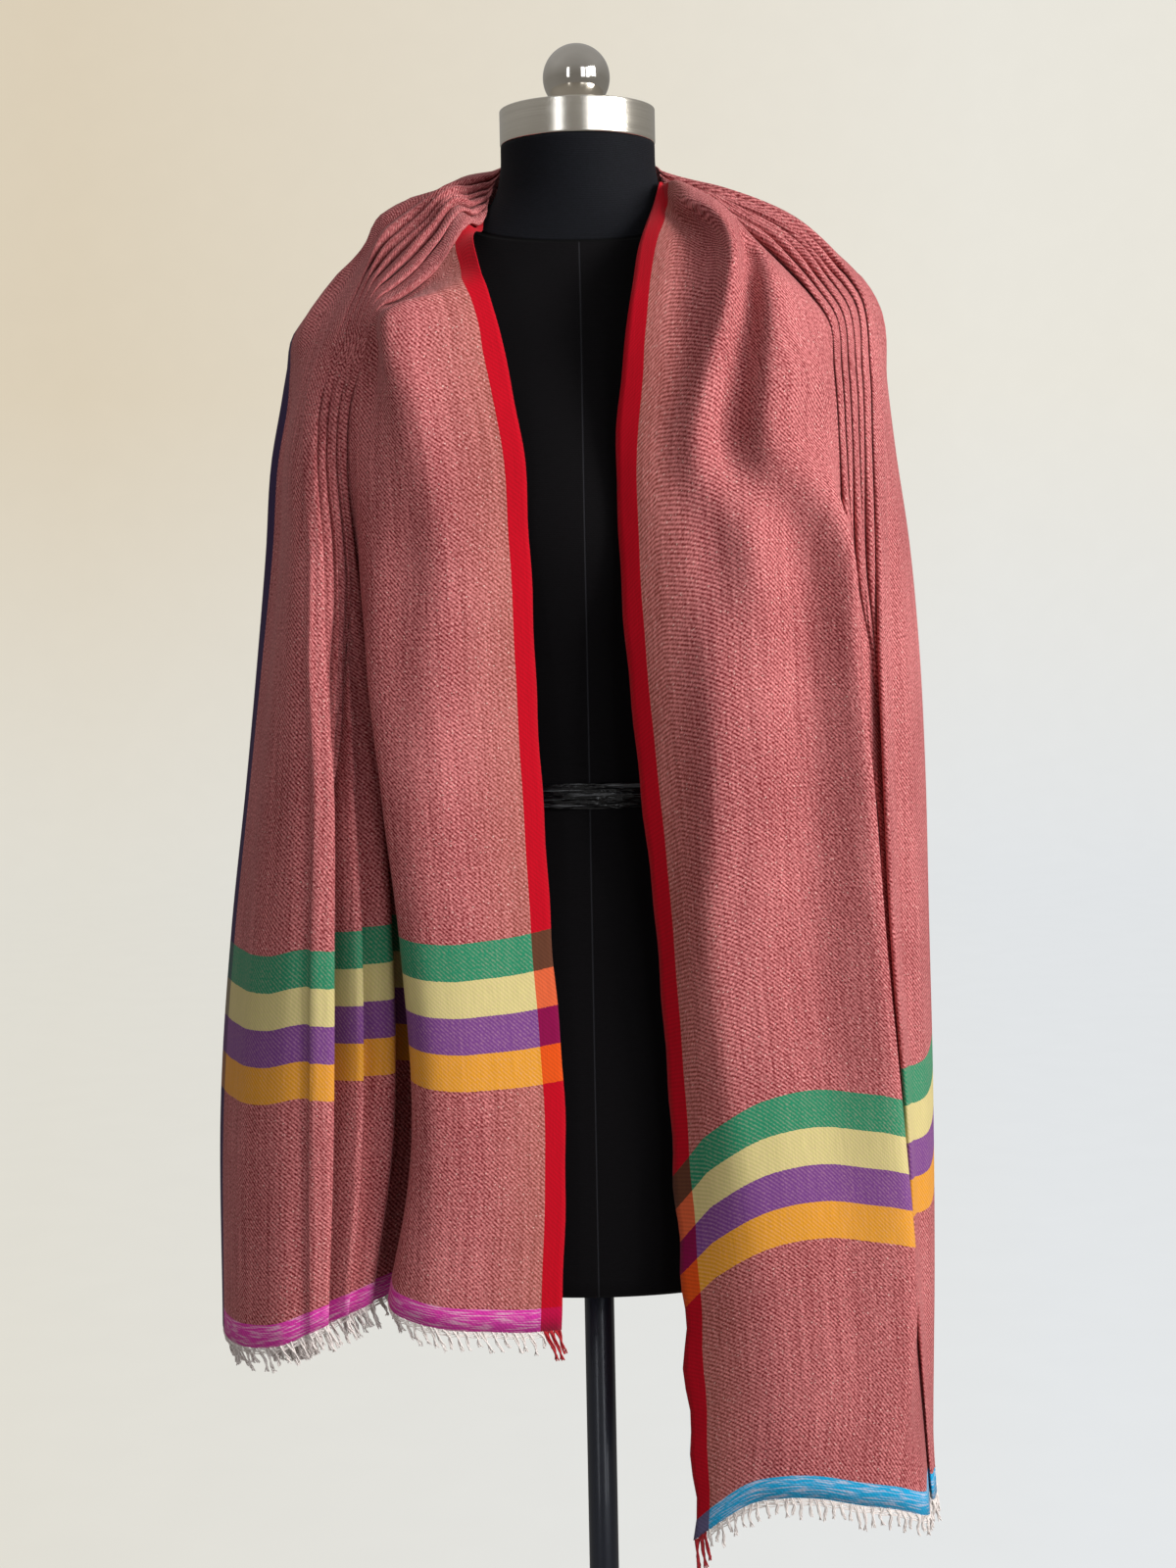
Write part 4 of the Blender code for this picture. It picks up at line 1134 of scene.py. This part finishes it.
class FORM_OT_stand(bpy.types.Operator):
    """Turn the collar, the pole and the round base"""

    bl_idname = "form.stand"
    bl_label = "Collar, pole and base"

    def execute(self, context):
        low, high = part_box("form_collar")
        inner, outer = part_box("form_pole")[1][0] + 0.0004, high[0]
        corners = [(inner, low[2]), (outer - 0.001, low[2]), (outer, low[2] + 0.002), (outer, high[2]),
                   (inner, high[2])]
        profile = rounded(corners, 0.0012)
        work = turned(profile + profile[:1], 64)
        finished(work, "form_pole_collar", collar_material(), ("form_collar",))
        low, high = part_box("form_pole")
        corners = [(0.0, low[2]), (high[0], low[2]), (high[0], high[2]), (0.0, high[2])]
        finished(turned(rounded(corners, 0.0003, 2), 64), "form_stand_pole", paint_material("pole_paint"),
                 ("form_pole",))
        low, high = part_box("form_base")
        radius, top = high[0], high[2]
        corners = [(0.0, 0.0), (radius, 0.0), (radius, 0.006), (radius - 0.004, 0.009), (0.054, 0.017),
                   (0.028, 0.023), (0.024, 0.037), (0.021, top), (0.0, top)]
        finished(turned(rounded(corners, 0.003), 160), "form_stand_base", paint_material("base_paint"),
                 ("form_base",))
        return {"FINISHED"}


# ---- stage ---------------------------------------------------------------------------------------


FLOOR_RADIUS = 8.5
WALL_TOP = 9.0
KEY_PLACE = (2.25, -1.45, 2.15)
KEY_TARGET = (0.0, -0.05, 1.20)
KEY_SIZE = (1.1, 1.3)
KEY_SHADE = (1.0, 0.985, 0.96)
CAMERA_PLACE = (0.0, -1.79, 1.138)
CAMERA_TURN = (90 - 4.7, 1.08, -0.05)     # degrees: down from level, roll, aside


def painted_light_backdrop_material():
    shades = bpy.context.scene.stage_settings
    make = new_shader("backdrop")
    x, y, z = make.place()
    # painted light: the backdrop glows in place of a lit wall and floor, with painted shade making it darker
    # and yellower at the left
    side = x / (y.abs() + 3.0)
    left = 1 - side.above(-0.02, 0.34)
    wall = make.mix(left, (0.800, 0.776, 0.702), (0.690, 0.600, 0.456))
    floor = make.mix(left, (0.745, 0.770, 0.790), (0.730, 0.708, 0.636))
    tone = make.mix(z.above(1.0, 2.0), floor, wall)
    grain = make.grain(9, detail=3.0)
    return make.finish(Base_Color=shades.backdrop, Roughness=0.95, Specular_IOR_Level=0.0,
                       Emission_Color=make.tinted(tone, 1.0 + (grain - 0.5) * 0.03), Emission_Strength=0.97)


def build_backdrop():
    """A round floor that sweeps up into a wall far behind, glowing with painted light."""
    corners = [(0.0, -0.0005), (5.5, -0.0005), (FLOOR_RADIUS, 0.0), (FLOOR_RADIUS, WALL_TOP)]
    work = turned(rounded(corners, 3.5, 24), 96)
    for face in work.faces:
        face.normal_flip()
    backdrop = smooth_object(work, "backdrop", painted_light_backdrop_material())
    backdrop.visible_glossy = False
    backdrop.visible_diffuse = False
    backdrop.visible_shadow = False


def build_world(strength):
    """A pale room, darker at the front, with two tall windows at its right there and one at its left."""
    world = bpy.data.worlds.new("room")
    bpy.context.scene.world = world
    make = Shader(world)
    x, y, z = make.place("Generated")
    front = 0.5 - y * 0.5
    turn = make.node("ShaderNodeMath", {"operation": "ARCTAN2"}, {0: x, 1: y * -1})
    windows = (turn.between(0.30, 0.52, 0.03) + turn.between(0.60, 0.80, 0.03)
               + turn.between(-0.55, -0.42, 0.03))
    windows = windows * z.between(-0.10, 0.42, 0.04)
    tone = make.mix(z.above(0.35, 0.5), (0.62, 0.60, 0.56), (0.95, 0.94, 0.92))
    tone = make.mix((front - 0.55) * 0.9, tone, (0.36, 0.33, 0.30))
    tone = make.mix(windows, tone, (8.0, 8.2, 8.5))
    background = make.node("ShaderNodeBackground", inputs={"Color": tone, "Strength": strength})
    make.node("ShaderNodeOutputWorld", inputs={"Surface": background})


def area_light(name, place, target, size, power, shade):
    light = bpy.data.lights.new(name, "AREA")
    light.shape = "RECTANGLE"
    light.size, light.size_y = size
    light.energy = power
    light.color = shade
    lamp = bpy.data.objects.new(name, light)
    lamp.location = place
    lamp.rotation_euler = (Vector(target) - Vector(place)).to_track_quat("-Z", "Y").to_euler()
    lamp.visible_camera = False
    bpy.context.scene.collection.objects.link(lamp)


class STAGE_OT_studio(bpy.types.Operator):
    """Set up the camera, the pale floor and wall, and soft light"""

    bl_idname = "stage.studio"
    bl_label = "Studio"

    def execute(self, context):
        scene = context.scene
        settings = scene.stage_settings
        scene.view_settings.view_transform = "Standard"
        build_backdrop()
        build_world(settings.room)
        area_light("key_light", KEY_PLACE, KEY_TARGET, KEY_SIZE, settings.key, KEY_SHADE)
        lens = bpy.data.cameras.new("camera")
        lens.sensor_fit = "VERTICAL"
        lens.sensor_height = 36.0
        lens.lens = settings.lens
        camera = bpy.data.objects.new("camera", lens)
        camera.location = CAMERA_PLACE
        camera.rotation_euler = [math.radians(turn) for turn in CAMERA_TURN]
        scene.collection.objects.link(camera)
        scene.camera = camera
        return {"FINISHED"}


# ---- the add-on ----------------------------------------------------------------------------------


class SHAWL_PT_panel(bpy.types.Panel):
    """Sizes, colours and the pieces to build"""

    bl_idname = "SHAWL_PT_panel"
    bl_label = "Shawl on a form"
    bl_space_type = "VIEW_3D"
    bl_region_type = "UI"
    bl_category = "Shawl"

    def draw(self, context):
        for name in SETTINGS:
            group = getattr(context.scene, name)
            box = self.layout.box()
            for prop in group.bl_rna.properties:
                if prop.identifier not in ("rna_type", "name"):
                    box.prop(group, prop.identifier)
        for operator in OPERATORS:
            self.layout.operator(operator.bl_idname)


SETTINGS = {"shawl_sizes": ShawlSizes, "shawl_colours": ShawlColours, "form_colours": FormColours,
            "stage_settings": StageSettings}
OPERATORS = (FORM_OT_torso, FORM_OT_tape, FORM_OT_cap, FORM_OT_stand, SHAWL_OT_cloth, STAGE_OT_studio)
CLASSES = (*SETTINGS.values(), *OPERATORS, SHAWL_PT_panel)


def register():
    for cls in CLASSES:
        bpy.utils.register_class(cls)
    for name, group in SETTINGS.items():
        setattr(bpy.types.Scene, name, PointerProperty(type=group))


def unregister():
    for name in SETTINGS:
        delattr(bpy.types.Scene, name)
    for cls in reversed(CLASSES):
        bpy.utils.unregister_class(cls)


def main():
    register()
    bpy.ops.form.torso()
    bpy.ops.form.tape()
    bpy.ops.form.cap()
    bpy.ops.form.stand()
    bpy.ops.shawl.cloth()
    bpy.ops.stage.studio()


if __name__ == "__main__":
    main()
